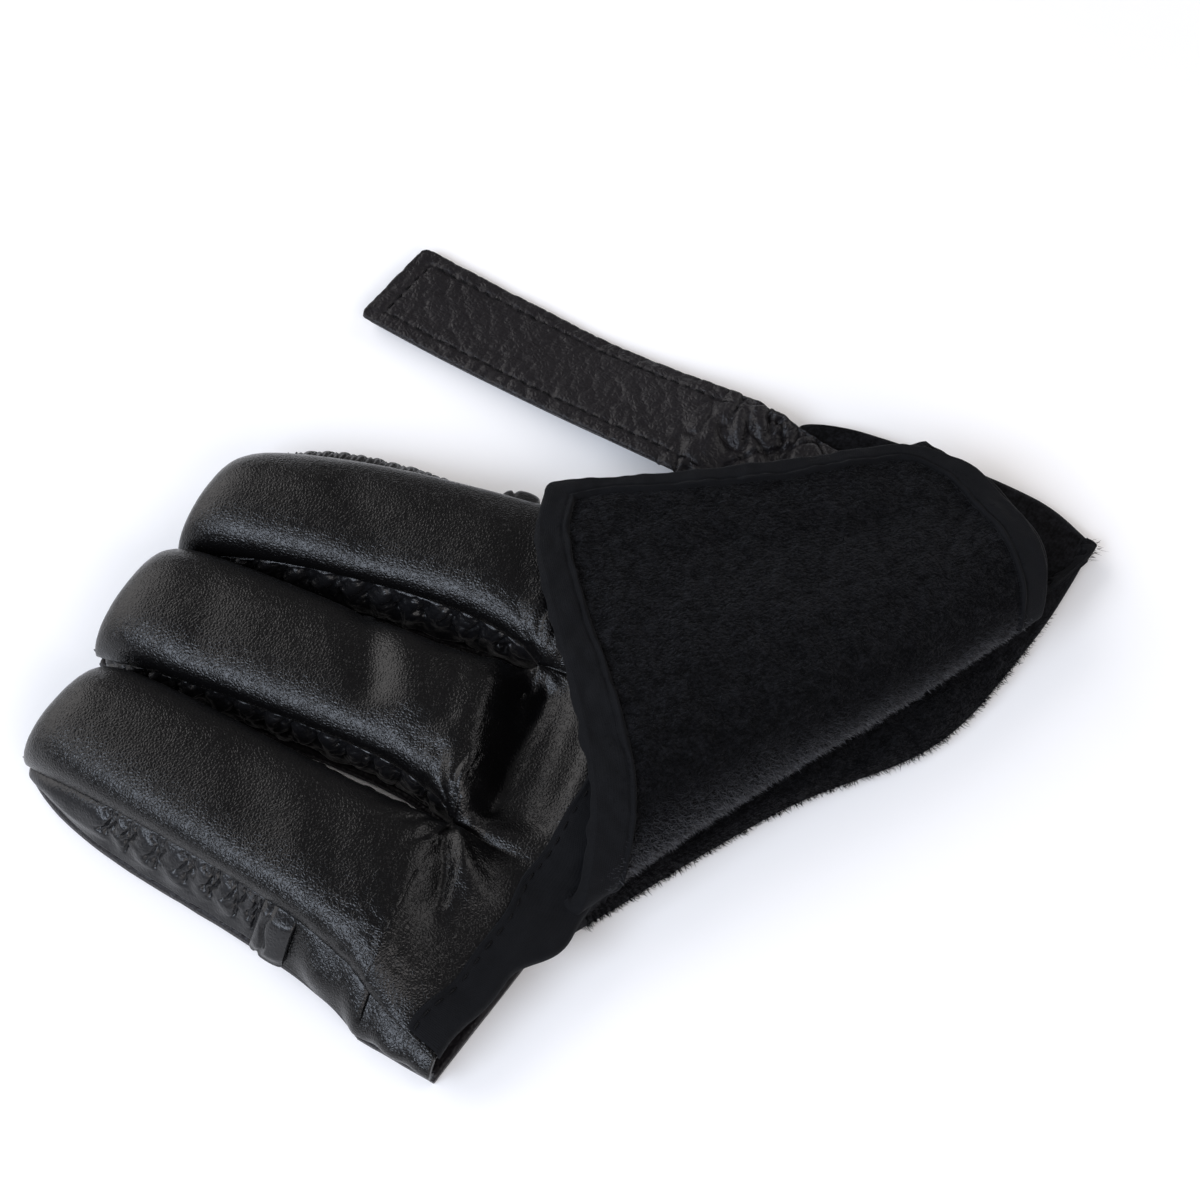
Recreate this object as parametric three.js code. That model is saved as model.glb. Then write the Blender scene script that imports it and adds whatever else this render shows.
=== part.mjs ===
// A three-finger archery glove lying palm side up, with its fleece wrist flap folded over the palm
// and its hook strap stretched out on the table.
//
// Millimetres. +X runs along the middle finger from its tip towards the wrist, +Y is across the hand
// towards the strap, +Z is up. The origin is on the table, below the middle of the middle finger's base.
import * as THREE from "three";

// Driving sizes
const handWidth = 100; // across the three finger bases, edge to edge
const fingerLength = 79; // from the crotch line to the middle fingertip
const fingerWidth = 25; // across a finger, half way along
const fingerHeight = 20; // from the table to the crown of a finger
const leatherThickness = 1.5; // palm and back panels
const sideThickness = 1.2; // gathered strips between palm and back
const fleeceThickness = 2.0; // cuff cloth, pile included
const tapeThickness = 0.8; // edge tape
const tapeWidth = 5.5; // how far a cuff tape reaches in from the edge
const mouthTapeWidth = 3.4; // how far the mouth's tape reaches in
const tapeSpread = 0.25; // a tape's legs stand this much further off at their ends
const wristSeamGap = 0.8; // between the back panel and the cuff
const seamDrop = 1.3; // from the palm seam line down to a side strip's upper edge
const layerGap = 0.4; // between two pieces that lie on each other
const tapeGap = 0.6; // between a tape and the edge inside it
const gatherCount = 9; // puckers along a gathered strip
const gatherDepth = 1.0; // how far a pucker stands out
const strapWidth = 22;
const strapLength = 116; // from the free end to the sewn root
const strapThickness = 1.5;
const hookThickness = 1.3; // hook patch under the strap
const hookLength = 82; // from the strap's free end
const hookInset = 0.8; // hook patch edge inside the strap edge

const edgeCurl = 0.9; // how far the back panel's edges turn up
const crotchRadius = 2.4; // plan radius of a forchette's turn between two fingers
const gussetBulge = 1.4; // how far the smooth side of the hand swells
const gussetInset = 1.0; // a gusset's top edge inside the palm panel's edge
const stripInset = 0.2; // a gathered strip's top edge inside the palm panel's edge

const tapeLift = tapeThickness + tapeGap; // how far a taped edge stands off the table
const sideFoot = edgeCurl + leatherThickness + seamDrop; // height of the side strips' lower edges

// The three fingers. nearBase and farBase are the two sides of a finger's base, as shares of handWidth.
// tip is the middle of its tip, body the width there and widen what the base end adds to it; lead is how
// far the tip's near corner runs ahead, nearSplay and farSplay how far the back panel stands out past the
// palm seam and puff how far an outer strip swells, all as shares of fingerWidth. length is a share of
// fingerLength, shoulder lowers the crown at the base, and a bend over 1 keeps a finger straight at first.
const fingers = {
  far: {
    nearBase: 0.16, farBase: 0.51, tip: 0.972, body: 0.99, widen: 0.1, length: 0.962,
    bend: 2.0, shoulder: 1.0, lead: 0.03, nearSplay: 0.08, farSplay: 0.15, puff: 0.19,
  },
  middle: {
    nearBase: -0.2, farBase: 0.16, tip: -0.032, body: 1.08, widen: -0.14, length: 0.995,
    bend: 1.0, shoulder: 0.94, lead: 0.04, nearSplay: 0.0, farSplay: 0.1, puff: 0.0,
  },
  near: {
    nearBase: -0.54, farBase: -0.2, tip: -1.088, body: 0.97, widen: 0.12, length: 0.98,
    bend: 0.9, shoulder: 0.98, lead: 0.08, nearSplay: 0.2, farSplay: 0.0, puff: 0.03,
  },
};

// Sections along a finger. reach is a share of its length, flare runs from the body's width (0) to the
// base's (1), taper narrows the body, and crown and seam are shares of fingerHeight.
const fingerSections = [
  { reach: 0.0, flare: 1.0, taper: 1.0, crown: 0.96, seam: 0.58 },
  { reach: 0.07, flare: 0.5, taper: 1.0, crown: 1.0, seam: 0.63 },
  { reach: 0.19, flare: 0.12, taper: 1.0, crown: 1.02, seam: 0.68 },
  { reach: 0.35, flare: 0.0, taper: 1.0, crown: 1.0, seam: 0.69 },
  { reach: 0.52, flare: 0.0, taper: 1.0, crown: 0.99, seam: 0.68 },
  { reach: 0.69, flare: 0.0, taper: 1.0, crown: 0.98, seam: 0.64 },
  { reach: 0.83, flare: 0.0, taper: 1.0, crown: 0.96, seam: 0.56 },
  { reach: 0.92, flare: 0.0, taper: 0.97, crown: 0.92, seam: 0.45 },
  { reach: 0.975, flare: 0.0, taper: 0.89, crown: 0.8, seam: 0.33 },
  { reach: 0.998, flare: 0.0, taper: 0.8, crown: 0.55, seam: 0.22 },
  { reach: 1.0, flare: 0.0, taper: 0.74, crown: 0.2, seam: 0.165 },
];
const archSquareness = 2.6; // 2 is an ellipse, more is boxier

// The palm panel's free edge from the far side of the hand to the near side: x and y are shares of
// handWidth and z of fingerHeight.
const palmHem = [
  { x: 0.055, y: 0.51, z: 0.6 },
  { x: 0.15, y: 0.36, z: 0.86 },
  { x: 0.22, y: 0.17, z: 0.84 },
  { x: 0.24, y: -0.02, z: 0.74 },
  { x: 0.226, y: -0.22, z: 0.56 },
  { x: 0.2, y: -0.41, z: 0.54 },
  { x: 0.155, y: -0.6, z: 0.48 },
];
const palmSag = { from: -0.4, to: 1.1 }; // the palm's fall to its hem, as depths outside the panel
// The hollow in the palm behind the middle finger; held is where it has faded in.
const palmDip = { x: 0.06, y: 0.0, length: 0.075, width: 0.15, depth: 0.3, held: 0.3 };

// The fleece cuff, as lines that run from the finger side (a) to the wrist side (d), listed from the
// flap's free edge, over the fold and back under the glove. Each starts with its ply, which is 1 where a
// second layer of fleece lies below the face, and has four stations. x and y are shares of handWidth, z of
// fingerHeight, and lift counts how often tapeLift is added.
const cuffLines = {
  freeEdge: line(1,
    [-0.118, 0.47, 0.96, 1], [0.09, 0.587, 0.96, 1], [0.29, 0.725, 0.88, 1], [0.49, 0.888, 0.74, 1]),
  far: line(1,
    [-0.079, 0.341, 1.06, 1], [0.145, 0.495, 0.98, 1], [0.365, 0.66, 0.87, 1], [0.6, 0.865, 0.7, 1]),
  valley: line(1,
    [0.018, 0.198, 1.06, 1], [0.225, 0.39, 1, 1], [0.43, 0.575, 0.89, 1], [0.675, 0.823, 0.67, 1]),
  crest: line(1,
    [0.138, 0.045, 1, 1], [0.318, 0.242, 1.03, 1], [0.522, 0.47, 0.93, 1], [0.745, 0.77, 0.68, 1]),
  shoulder: line(1,
    [0.232, -0.1, 0.87, 1], [0.405, 0.12, 0.89, 1], [0.6, 0.375, 0.81, 1], [0.79, 0.71, 0.6, 1]),
  roll: line(0.5,
    [0.272, -0.235, 0.55, 1], [0.45, 0.055, 0.61, 0], [0.64, 0.345, 0.6, 0], [0.808, 0.65, 0.48, 0]),
  rollUnder: line(0,
    [0.258, -0.268, 0.45, 0], [0.42, 0.085, 0.42, 0], [0.602, 0.39, 0.42, 0], [0.785, 0.675, 0.38, 0]),
  groove: line(0,
    [0.256, -0.279, 0.34, 0], [0.418, 0.092, 0.31, 0], [0.602, 0.402, 0.31, 0], [0.775, 0.7, 0.32, 0]),
  lipTop: line(0,
    [0.255, -0.283, 0.25, 0], [0.468, 0.086, 0.25, 0], [0.7, 0.386, 0.27, 0], [0.818, 0.775, 0.29, 0]),
  lip: line(0,
    [0.25, -0.285, 0.13, 0], [0.507, 0.11, 0.13, 0], [0.782, 0.437, 0.14, 0], [0.857, 0.89, 0.15, 0.8]),
  underEdge: line(0,
    [0.23, -0.27, 0, 0], [0.485, 0.127, 0, 0], [0.757, 0.45, 0, 0.7], [0.835, 0.9, 0, 1.5]),
  underMiddle: line(0,
    [0.2, -0.07, 0, 0], [0.375, 0.25, 0, 0], [0.6, 0.56, 0, 0.7], [0.72, 0.95, 0, 1.5]),
  underInner: line(0,
    [0.16, 0.24, 0, 0], [0.28, 0.43, 0, 0], [0.42, 0.67, 0, 0.7], [0.5, 0.97, 0, 1.5]),
  underFar: line(0,
    [0.12, 0.53, 0, 0], [0.15, 0.67, 0, 0], [0.18, 0.8, 0, 0.7], [0.235, 0.965, 0, 1.5]),
};

// The strap's top face. along is a share of strapLength from the free end; near and far are the heights
// of its two edges above the lowest it can lie, as shares of fingerHeight.
const strapSections = [
  { along: 0.0, near: 0.06, far: 0.02 },
  { along: 0.18, near: 0.05, far: 0.0 },
  { along: 0.4, near: 0.11, far: 0.01 },
  { along: 0.58, near: 0.2, far: 0.15 },
  { along: 0.7, near: 0.24, far: 0.3 },
  { along: 0.8, near: 0.14, far: 0.2 },
  { along: 0.9, near: 0.0, far: 0.04 },
  { along: 1.0, near: 0.0, far: 0.02 },
];
const strapEnd = { x: -0.71, y: 0.948 }; // middle of the free end, shares of handWidth
const strapTurn = THREE.MathUtils.degToRad(-9.5); // direction from the free end to the root

// One cuff line from its ply and its four stations, each x, y, z and lift.
function line(ply, ...stations) {
  return stations.map(([x, y, z, lift]) => ({ x, y, z, lift, ply }));
}

// Uniform Catmull-Rom value through a list of numbers, with straight run-outs at both ends; t is 0 to 1.
function through(values, t) {
  const last = values.length - 1;
  const place = THREE.MathUtils.clamp(t, 0, 1) * last;
  const i = Math.min(Math.floor(place), last - 1);
  const f = place - i;
  const b = values[i];
  const c = values[i + 1];
  const a = i > 0 ? values[i - 1] : 2 * b - c;
  const d = i + 2 <= last ? values[i + 2] : 2 * c - b;
  const v0 = (c - a) / 2;
  const v1 = (d - b) / 2;
  return b + v0 * f + (3 * (c - b) - 2 * v0 - v1) * f * f + (2 * (b - c) + v0 + v1) * f * f * f;
}

function column(rows, key, t) {
  return through(rows.map((row) => row[key]), t);
}

// A surface is { points, quads }: quads wind so that their right-hand normal is the outer face.
function gridSurface(columns, rows, pointAt) {
  const points = [];
  const quads = [];
  for (let i = 0; i <= columns; i++)
    for (let j = 0; j <= rows; j++) points.push(pointAt(i / columns, j / rows));
  for (let i = 0; i < columns; i++)
    for (let j = 0; j < rows; j++) {
      const a = i * (rows + 1) + j;
      quads.push([a, a + rows + 1, a + rows + 2, a + 1]);
    }
  return { points, quads };
}

function joinSurfaces(...surfaces) {
  const points = [];
  const quads = [];
  for (const s of surfaces) {
    const first = points.length;
    points.push(...s.points);
    quads.push(...s.quads.map((q) => q.map((k) => k + first)));
  }
  return { points, quads };
}

// Merges points that meet, in the order given, and returns the open surface's corners, triangles and
// corner normals.
function triangulate({ points, quads }) {
  const corners = [];
  const known = new Map();
  const cornerOf = points.map((point) => {
    const key = point.toArray().map((value) => Math.round(value * 1000)).join();
    if (!known.has(key)) known.set(key, corners.push(point) - 1);
    return known.get(key);
  });
  const triangles = quads
    .map((quad) => quad.map((k) => cornerOf[k]))
    .flatMap(([a, b, c, d]) => [[a, b, c], [a, c, d]])
    .filter(([a, b, c]) => a !== b && b !== c && c !== a);
  const normals = corners.map(() => new THREE.Vector3());
  for (const [a, b, c] of triangles) {
    const side = new THREE.Vector3().subVectors(corners[b], corners[a]);
    const normal = side.cross(new THREE.Vector3().subVectors(corners[c], corners[a]));
    for (const k of [a, b, c]) normals[k].add(normal);
  }
  normals.forEach((normal) => normal.normalize());
  return { corners, triangles, normals };
}

// A cloth or leather wall: the surface, a copy of it moved inwards by the thickness, and the rim between.
// It moves in against its normals, or along the given direction.
function wall(surface, thickness, inwards) {
  const { corners, triangles, normals } = triangulate(surface);
  const inner = corners.map((corner, k) => {
    const step = inwards ?? normals[k].clone().negate();
    return corner.clone().addScaledVector(step, thickness);
  });
  const count = corners.length;
  const index = [];
  const edges = new Set(triangles.flatMap(([a, b, c]) => [`${a},${b}`, `${b},${c}`, `${c},${a}`]));
  for (const [a, b, c] of triangles) {
    index.push(a, b, c, a + count, c + count, b + count);
    for (const [p, q] of [[a, b], [b, c], [c, a]])
      if (!edges.has(`${q},${p}`)) index.push(q, p, p + count, q, p + count, q + count);
  }
  return new THREE.BufferGeometry().setFromPoints([...corners, ...inner]).setIndex(index);
}

// A closed profile carried along stations; each station is a function that places a profile point.
function carried(profile, stations) {
  const points = stations.flatMap((place) => profile.map(([out, up]) => place(out, up)));
  const n = profile.length;
  const index = [];
  for (let i = 0; i + 1 < stations.length; i++)
    for (let j = 0; j < n; j++) {
      const a = i * n + j;
      const b = i * n + ((j + 1) % n);
      index.push(a, a + n, b + n, a, b + n, b);
    }
  const contour = profile.map(([out, up]) => new THREE.Vector2(out, up));
  const faces = THREE.ShapeUtils.triangulateShape(contour, []);
  if (THREE.ShapeUtils.isClockWise(contour)) faces.forEach((face) => face.reverse());
  const end = (stations.length - 1) * n;
  for (const [a, b, c] of faces) index.push(a, b, c, a + end, c + end, b + end);
  const geometry = new THREE.BufferGeometry().setFromPoints(points).setIndex(index);
  return signedVolume(points, index) < 0 ? geometry.setIndex(turned(index)) : geometry;
}

function signedVolume(points, index) {
  let total = 0;
  for (let i = 0; i < index.length; i += 3)
    total += points[index[i]].dot(points[index[i + 1]].clone().cross(points[index[i + 2]])) / 6;
  return total;
}

function turned(index) {
  return index.map((_, i) => index[i - (i % 3) + [0, 2, 1][i % 3]]);
}

// Fingers
function fingerAt(finger, t) {
  const reach = Math.max(0, column(fingerSections, "reach", t));
  const base = (handWidth * (finger.nearBase + finger.farBase)) / 2;
  const widened = finger.body + finger.widen * (1 - reach);
  const body = fingerWidth * widened * column(fingerSections, "taper", t);
  const baseWidth = handWidth * (finger.farBase - finger.nearBase);
  const half = THREE.MathUtils.lerp(body, baseWidth, column(fingerSections, "flare", t)) / 2;
  const rise = THREE.MathUtils.lerp(finger.shoulder, 1, THREE.MathUtils.smoothstep(t, 0, 0.3));
  return {
    x: -fingerLength * finger.length * reach,
    y: THREE.MathUtils.lerp(base, fingerWidth * finger.tip, Math.pow(reach, finger.bend)),
    half,
    skew: fingerWidth * finger.lead * THREE.MathUtils.smoothstep(reach, 0.5, 1),
    seam: fingerHeight * column(fingerSections, "seam", t),
    crown: fingerHeight * column(fingerSections, "crown", t) * rise,
  };
}

// A point of the palm side of a finger: t runs from base to tip, across from -1 to 1 over the arch.
function archPoint(finger, t, across) {
  const { x, y, half, skew, seam, crown } = fingerAt(finger, t);
  const angle = (across * Math.PI) / 2;
  const side = Math.sign(across) * Math.pow(Math.abs(Math.sin(angle)), 2 / archSquareness);
  const up = Math.pow(Math.max(Math.cos(angle), 0), 2 / archSquareness);
  return new THREE.Vector3(x + skew * side, y + half * side, seam + (crown - seam) * up);
}

// Where the back panel's overhang fades: in from the crotch between two fingers, and out to the tip.
const splayFade = { crotch: [0.05, 0.35], tip: [0.45, 0.85], mouth: 0.85 };

// How far the back panel stands out past the palm seam on one side of a finger.
function splayAt(finger, side, t) {
  const share = side < 0 ? finger.nearSplay : finger.farSplay;
  const isOuter = (finger === fingers.near && side < 0) || (finger === fingers.far && side > 0);
  const grown = isOuter ? 1 : THREE.MathUtils.smoothstep(t, ...splayFade.crotch);
  return fingerWidth * share * grown * (1 - THREE.MathUtils.smoothstep(t, ...splayFade.tip));
}

// The same along the side of the hand.
function handSplay(finger, side, depth) {
  return splayAt(finger, side, 0) * (1 - splayFade.mouth * depth);
}

const fingerRows = fingerSections.length - 1;
const fingerColumns = 8;
const palmRows = 5;
const handOrder = [fingers.near, fingers.middle, fingers.far]; // from -Y to +Y
const handColumns = fingerColumns * handOrder.length;

// The middle line of the hand's finger bases, for a share of the way from the near to the far side.
function baseRow(share, pointOf) {
  const place = share * handOrder.length;
  const i = Math.min(Math.floor(place), handOrder.length - 1);
  return pointOf(handOrder[i], 2 * (place - i) - 1);
}

function hemPoint(share) {
  const t = 1 - share;
  return new THREE.Vector3(
    handWidth * column(palmHem, "x", t),
    handWidth * column(palmHem, "y", t),
    fingerHeight * column(palmHem, "z", t),
  );
}

// A point of the palm: share from the near to the far side, depth from the finger bases to the hem.
function palmPoint(share, depth) {
  const start = baseRow(share, (finger, across) => archPoint(finger, 0, across));
  const end = hemPoint(share);
  const point = start.clone().lerp(end, depth);
  const fall = THREE.MathUtils.smoothstep(depth, palmSag.from, palmSag.to);
  point.z = depth === 0 ? start.z : THREE.MathUtils.lerp(start.z, end.z, fall);
  const dx = (point.x / handWidth - palmDip.x) / palmDip.length;
  const dy = (point.y / handWidth - palmDip.y) / palmDip.width;
  const held = THREE.MathUtils.smoothstep(depth, 0, palmDip.held);
  point.z -= held * palmDip.depth * fingerHeight * Math.exp(-dx * dx - dy * dy);
  return point;
}

function palmPanel() {
  const stalls = handOrder.map((finger) =>
    gridSurface(fingerRows, fingerColumns, (t, c) => archPoint(finger, 1 - t, 2 * c - 1)),
  );
  return wall(joinSurfaces(...stalls, palmSurface()), leatherThickness);
}

function palmSurface() {
  return gridSurface(palmRows, handColumns, (depth, share) => palmPoint(share, depth));
}

// The cuff
// A point of the cuff's fleece face: down from the free edge (0) to the far edge under the glove (1),
// t from the finger side to the wrist side.
function cuffPoint(down, t) {
  const lines = Object.values(cuffLines);
  const value = (key) => through(lines.map((stations) => column(stations, key, t)), down);
  const height = Math.max(fingerHeight * value("z"), 0);
  const layers = Math.max(value("lift"), 0) * tapeLift + Math.max(value("ply"), 0) * fleeceThickness;
  return new THREE.Vector3(handWidth * value("x"), handWidth * value("y"), height + layers);
}

function cuffRow(name) {
  return rowsPerLine * Object.keys(cuffLines).indexOf(name);
}

function cuffPlace(name) {
  return cuffRow(name) / cuffRows;
}

const cuffColumns = 14;
const rowsPerLine = 2;
const cuffRows = rowsPerLine * (Object.keys(cuffLines).length - 1);

function cuffSurface() {
  return gridSurface(cuffColumns, cuffRows, (t, rise) => cuffPoint(1 - rise, t));
}

function cuff() {
  return wall(cuffSurface(), fleeceThickness);
}

// Back panel: the underside of fingers and hand, flat on the table with its edges turned up.
const backCorner = 0.25; // share of the hand's width where the back panel's free edge meets the cuff

function backEdge(share) {
  const seam = new THREE.Vector3(-wristSeamGap, 0, 0);
  const along = Math.max(share - backCorner, 0) / (1 - backCorner);
  const inner = cuffPoint(THREE.MathUtils.lerp(cuffPlace("underEdge"), 1, along), 0).add(seam).setZ(0);
  if (share >= backCorner) return inner;
  const outer = hemPoint(0).add(new THREE.Vector3(0, -handSplay(fingers.near, -1, 1), 0));
  return outer.lerp(inner, share / backCorner).setZ(0);
}

const edgeSharpness = 6; // a high power keeps the back panel flat up to its turned edges

function backPoint(finger, t, across) {
  const { x, y, half, skew } = fingerAt(finger, t);
  const side = Math.sign(across);
  const atTip = THREE.MathUtils.smoothstep(t, 0.9, 1);
  const turnedUp = Math.max(Math.pow(Math.abs(across), edgeSharpness), atTip);
  const curl = turnedUp * THREE.MathUtils.smoothstep(t, 0, 0.12);
  const width = half + splayAt(finger, side, t);
  return new THREE.Vector3(x + skew * across, y + width * across, edgeCurl * curl);
}

const backColumns = 6; // across one finger
const backRows = 4; // from the finger bases to the cuff

function backPanel() {
  const stalls = handOrder.map((finger) =>
    gridSurface(fingerRows, backColumns, (t, c) => backPoint(finger, 1 - t, 1 - 2 * c)),
  );
  const hand = gridSurface(backRows, backColumns * handOrder.length, (depth, c) => {
    const share = 1 - c;
    const start = baseRow(share, (finger, across) => backPoint(finger, 0, across));
    return start.lerp(backEdge(share), depth);
  });
  return wall(joinSurfaces(...stalls, hand), leatherThickness, new THREE.Vector3(0, 0, 1));
}

// Side strips
// The outer face of a side wall: down from the palm seam (0) to the back panel (1).
function sidePoint(finger, side, t, down, bulge, inset) {
  const { x, y, half, skew, seam } = fingerAt(finger, t);
  const out = half - inset + bulge + down * splayAt(finger, side, t);
  const z = THREE.MathUtils.lerp(seam - seamDrop, sideFoot, down);
  return new THREE.Vector3(x + side * skew, y + side * out, z);
}

const gatherLean = 1.2; // how far a pucker leans over its height, in radians of its wave
const gatherEdge = 0.04; // the puckers never die away fully at a strip's two seams

// How far the gathers push a strip out, at a place along it and down it.
function pucker(t, down) {
  const wave = 0.5 - 0.5 * Math.cos(2 * Math.PI * gatherCount * t + gatherLean * Math.sin(3 * down));
  return gatherDepth * wave * Math.sin(Math.PI * THREE.MathUtils.clamp(down, gatherEdge, 1 - gatherEdge));
}

const stripTip = 0.77; // place along a finger where its side strips end
const gatherEnd = 0.24; // place along a finger where the outer gathered strips end
const stripRows = 4;
const columnsPerGather = 3;

function gatheredStrip(finger, side) {
  const surface = gridSurface(columnsPerGather * gatherCount, stripRows, (along, down) => {
    const t = THREE.MathUtils.lerp(gatherEnd, stripTip, along);
    const puff = fingerWidth * finger.puff * Math.sin(Math.PI * Math.sqrt(down)) * Math.sin(Math.PI * along);
    return sidePoint(finger, side, t, down, puff + pucker(along, down), stripInset);
  });
  return wall(side > 0 ? flip(surface) : surface, sideThickness);
}

function flip({ points, quads }) {
  return { points, quads: quads.map(([a, b, c, d]) => [d, c, b, a]) };
}

const crotchReach = 0.16; // place along a finger where its forchette starts to turn in to the crotch
const innerGather = 0.7; // an inner strip's puckers against an outer one's

const legColumns = 24; // columns of a forchette along one finger
const turnColumns = 4; // columns round its crotch
const gatherFade = { crotch: [0.2, 0.35], tip: [0.75, 0.95] }; // where a forchette's puckers die away

// The strip between two fingers: down one, round the crotch and back up the other.
function forchette(nearFinger, farFinger) {
  const total = 2 * legColumns + turnColumns;
  const crotchTop = fingerAt(nearFinger, 0).seam - leatherThickness - seamDrop;
  const crotchY = handWidth * nearFinger.farBase;
  const surface = gridSurface(total, stripRows, (share, down) => {
    const k = Math.round(share * total);
    if (k > legColumns && k < legColumns + turnColumns) {
      const angle = (Math.PI * (k - legColumns)) / turnColumns - Math.PI / 2;
      return new THREE.Vector3(
        crotchRadius * Math.cos(angle),
        crotchY + crotchRadius * Math.sin(angle),
        THREE.MathUtils.lerp(crotchTop, sideFoot, down),
      );
    }
    const isNear = k <= legColumns;
    const along = isNear ? 1 - k / legColumns : (k - legColumns - turnColumns) / legColumns;
    const t = stripTip * along;
    const closing = Math.pow(Math.max(0, 1 - t / crotchReach), 2);
    const inset = THREE.MathUtils.lerp(stripInset, crotchRadius, closing);
    const begun = THREE.MathUtils.smoothstep(along, ...gatherFade.crotch);
    const ended = THREE.MathUtils.smoothstep(along, ...gatherFade.tip);
    const gather = innerGather * pucker(along, down) * begun * (1 - ended);
    const finger = isNear ? nearFinger : farFinger;
    const point = sidePoint(finger, isNear ? 1 : -1, t, down, gather, inset);
    const lowered = THREE.MathUtils.lerp(crotchTop, sideFoot, down);
    point.z = THREE.MathUtils.lerp(point.z, lowered, closing);
    return point;
  });
  return wall(surface, sideThickness);
}

const gussetColumns = 8;
const gussetTurn = 0.45; // share of a gusset that lies along the finger
const gussetStart = gatherEnd - 0.012; // place along a finger where its gusset starts

// The smooth side of the hand behind a gathered strip, up to the mouth of the glove.
function gusset(finger, side, share) {
  const surface = gridSurface(gussetColumns, stripRows, (along, down) => {
    const bulge = gussetBulge * Math.sin(Math.PI * down);
    if (along <= gussetTurn) {
      return sidePoint(finger, side, gussetStart * (1 - along / gussetTurn), down, bulge, gussetInset);
    }
    const depth = (along - gussetTurn) / (1 - gussetTurn);
    const top = palmPoint(share, depth);
    const z = THREE.MathUtils.lerp(top.z - leatherThickness - seamDrop, sideFoot, down);
    const out = bulge - gussetInset + down * handSplay(finger, side, depth);
    return new THREE.Vector3(top.x, top.y + side * out, z);
  });
  return wall(side > 0 ? flip(surface) : surface, sideThickness);
}

const tapeEndRow = 2; // cuff row where the side tapes stop short of the free edge's tape
const tapeFold = 0.6; // how sharp a tape's fold is: 1 is square

// Edge tapes: a folded U round the edge of a wall. The profile is measured from the wall's outer
// face at its very edge: out past the edge, and up along the outward normal.
function tapeProfile(thickness, width) {
  const gap = tapeGap;
  const outer = gap + tapeThickness;
  const open = outer + tapeSpread;
  return [
    [-width, open],
    [outer * tapeFold, outer],
    [outer, outer * (1 - tapeFold)],
    [outer, -thickness - outer * (1 - tapeFold)],
    [outer * tapeFold, -thickness - outer],
    [-width, -thickness - open],
    [-width, -thickness - open + tapeThickness],
    [gap, -thickness - gap],
    [gap, gap],
    [-width, open - tapeThickness],
  ];
}

// A tape folded round part of a surface's edge. rim lists the edge's corners, each with the corner
// next to it inside the surface, so that the tape's legs follow the wall.
function tapeAlong(surface, rim, thickness, width) {
  const { corners, normals } = triangulate(surface);
  const stations = rim.map(([edge, inside]) => {
    const inward = corners[inside].clone().sub(corners[edge]);
    return (out, up) => {
      const share = -out / inward.length();
      const normal = normals[edge].clone().lerp(normals[inside], Math.max(share, 0)).normalize();
      return corners[edge].clone().addScaledVector(inward, share).addScaledVector(normal, up);
    };
  });
  return carried(tapeProfile(thickness, width), stations);
}

function steps(from, to) {
  return Array.from({ length: to - from + 1 }, (_, i) => from + i);
}

function cuffCorner(column, row) {
  return column * (cuffRows + 1) + cuffRows - row;
}

// The tape on the cuff's free edge.
function flapTapeTop() {
  const rim = steps(0, cuffColumns).map((column) => [cuffCorner(column, 0), cuffCorner(column, 1)]);
  return tapeAlong(cuffSurface(), rim, fleeceThickness, tapeWidth);
}

// A tape along one side of the cuff, its edge column and the column inside it given, between two rows.
function cuffSideTape(column, inside, fromRow, toRow) {
  const rim = steps(fromRow, toRow).map((row) => [cuffCorner(column, row), cuffCorner(inside, row)]);
  return tapeAlong(cuffSurface(), rim, fleeceThickness, tapeWidth);
}

function mouthTape() {
  const corner = (row, column) => row * (handColumns + 1) + column;
  const columns = steps(1, handColumns - 1);
  const rim = columns.map((column) => [corner(palmRows, column), corner(palmRows - 1, column)]);
  return tapeAlong(palmSurface(), rim, leatherThickness, mouthTapeWidth);
}

// Strap
const strapDirection = new THREE.Vector3(Math.cos(strapTurn), Math.sin(strapTurn), 0);
const strapAcross = new THREE.Vector3(-Math.sin(strapTurn), Math.cos(strapTurn), 0);
const strapFloor = strapThickness + layerGap + hookThickness; // the top face with the hook patch below
const strapSeat = tapeLift + fleeceThickness + layerGap + strapThickness; // and with the cuff below
const seatRise = [0.6, 0.85]; // places along the strap between which it climbs onto the cuff

function strapPoint(along, across, drop) {
  const start = new THREE.Vector3(strapEnd.x * handWidth, strapEnd.y * handWidth, 0);
  const near = Math.max(column(strapSections, "near", along), 0);
  const far = Math.max(column(strapSections, "far", along), 0);
  const low = THREE.MathUtils.lerp(near, far, across);
  const floor = THREE.MathUtils.lerp(strapFloor, strapSeat, THREE.MathUtils.smoothstep(along, ...seatRise));
  return start
    .addScaledVector(strapDirection, strapLength * alongOf(along))
    .addScaledVector(strapAcross, (across - 0.5) * (strapWidth - 2 * drop.inset))
    .setZ(floor + fingerHeight * low - drop.depth);
}

function alongOf(t) {
  return column(strapSections, "along", t);
}

const strapColumns = 21;
const strapRows = 4;
const halvingCount = 40; // of the search for a place along the strap

function strap() {
  const drop = { inset: 0, depth: 0 };
  const surface = gridSurface(strapColumns, strapRows, (along, across) => strapPoint(along, across, drop));
  return wall(surface, strapThickness, new THREE.Vector3(0, 0, -1));
}

function hookPatch() {
  const drop = { inset: hookInset, depth: strapThickness + layerGap };
  const end = placeAlongStrap(hookLength / strapLength);
  const start = placeAlongStrap(hookInset / strapLength);
  const surface = gridSurface(strapColumns, strapRows, (along, across) =>
    strapPoint(THREE.MathUtils.lerp(start, end, along), across, drop),
  );
  return wall(surface, hookThickness, new THREE.Vector3(0, 0, -1));
}

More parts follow.
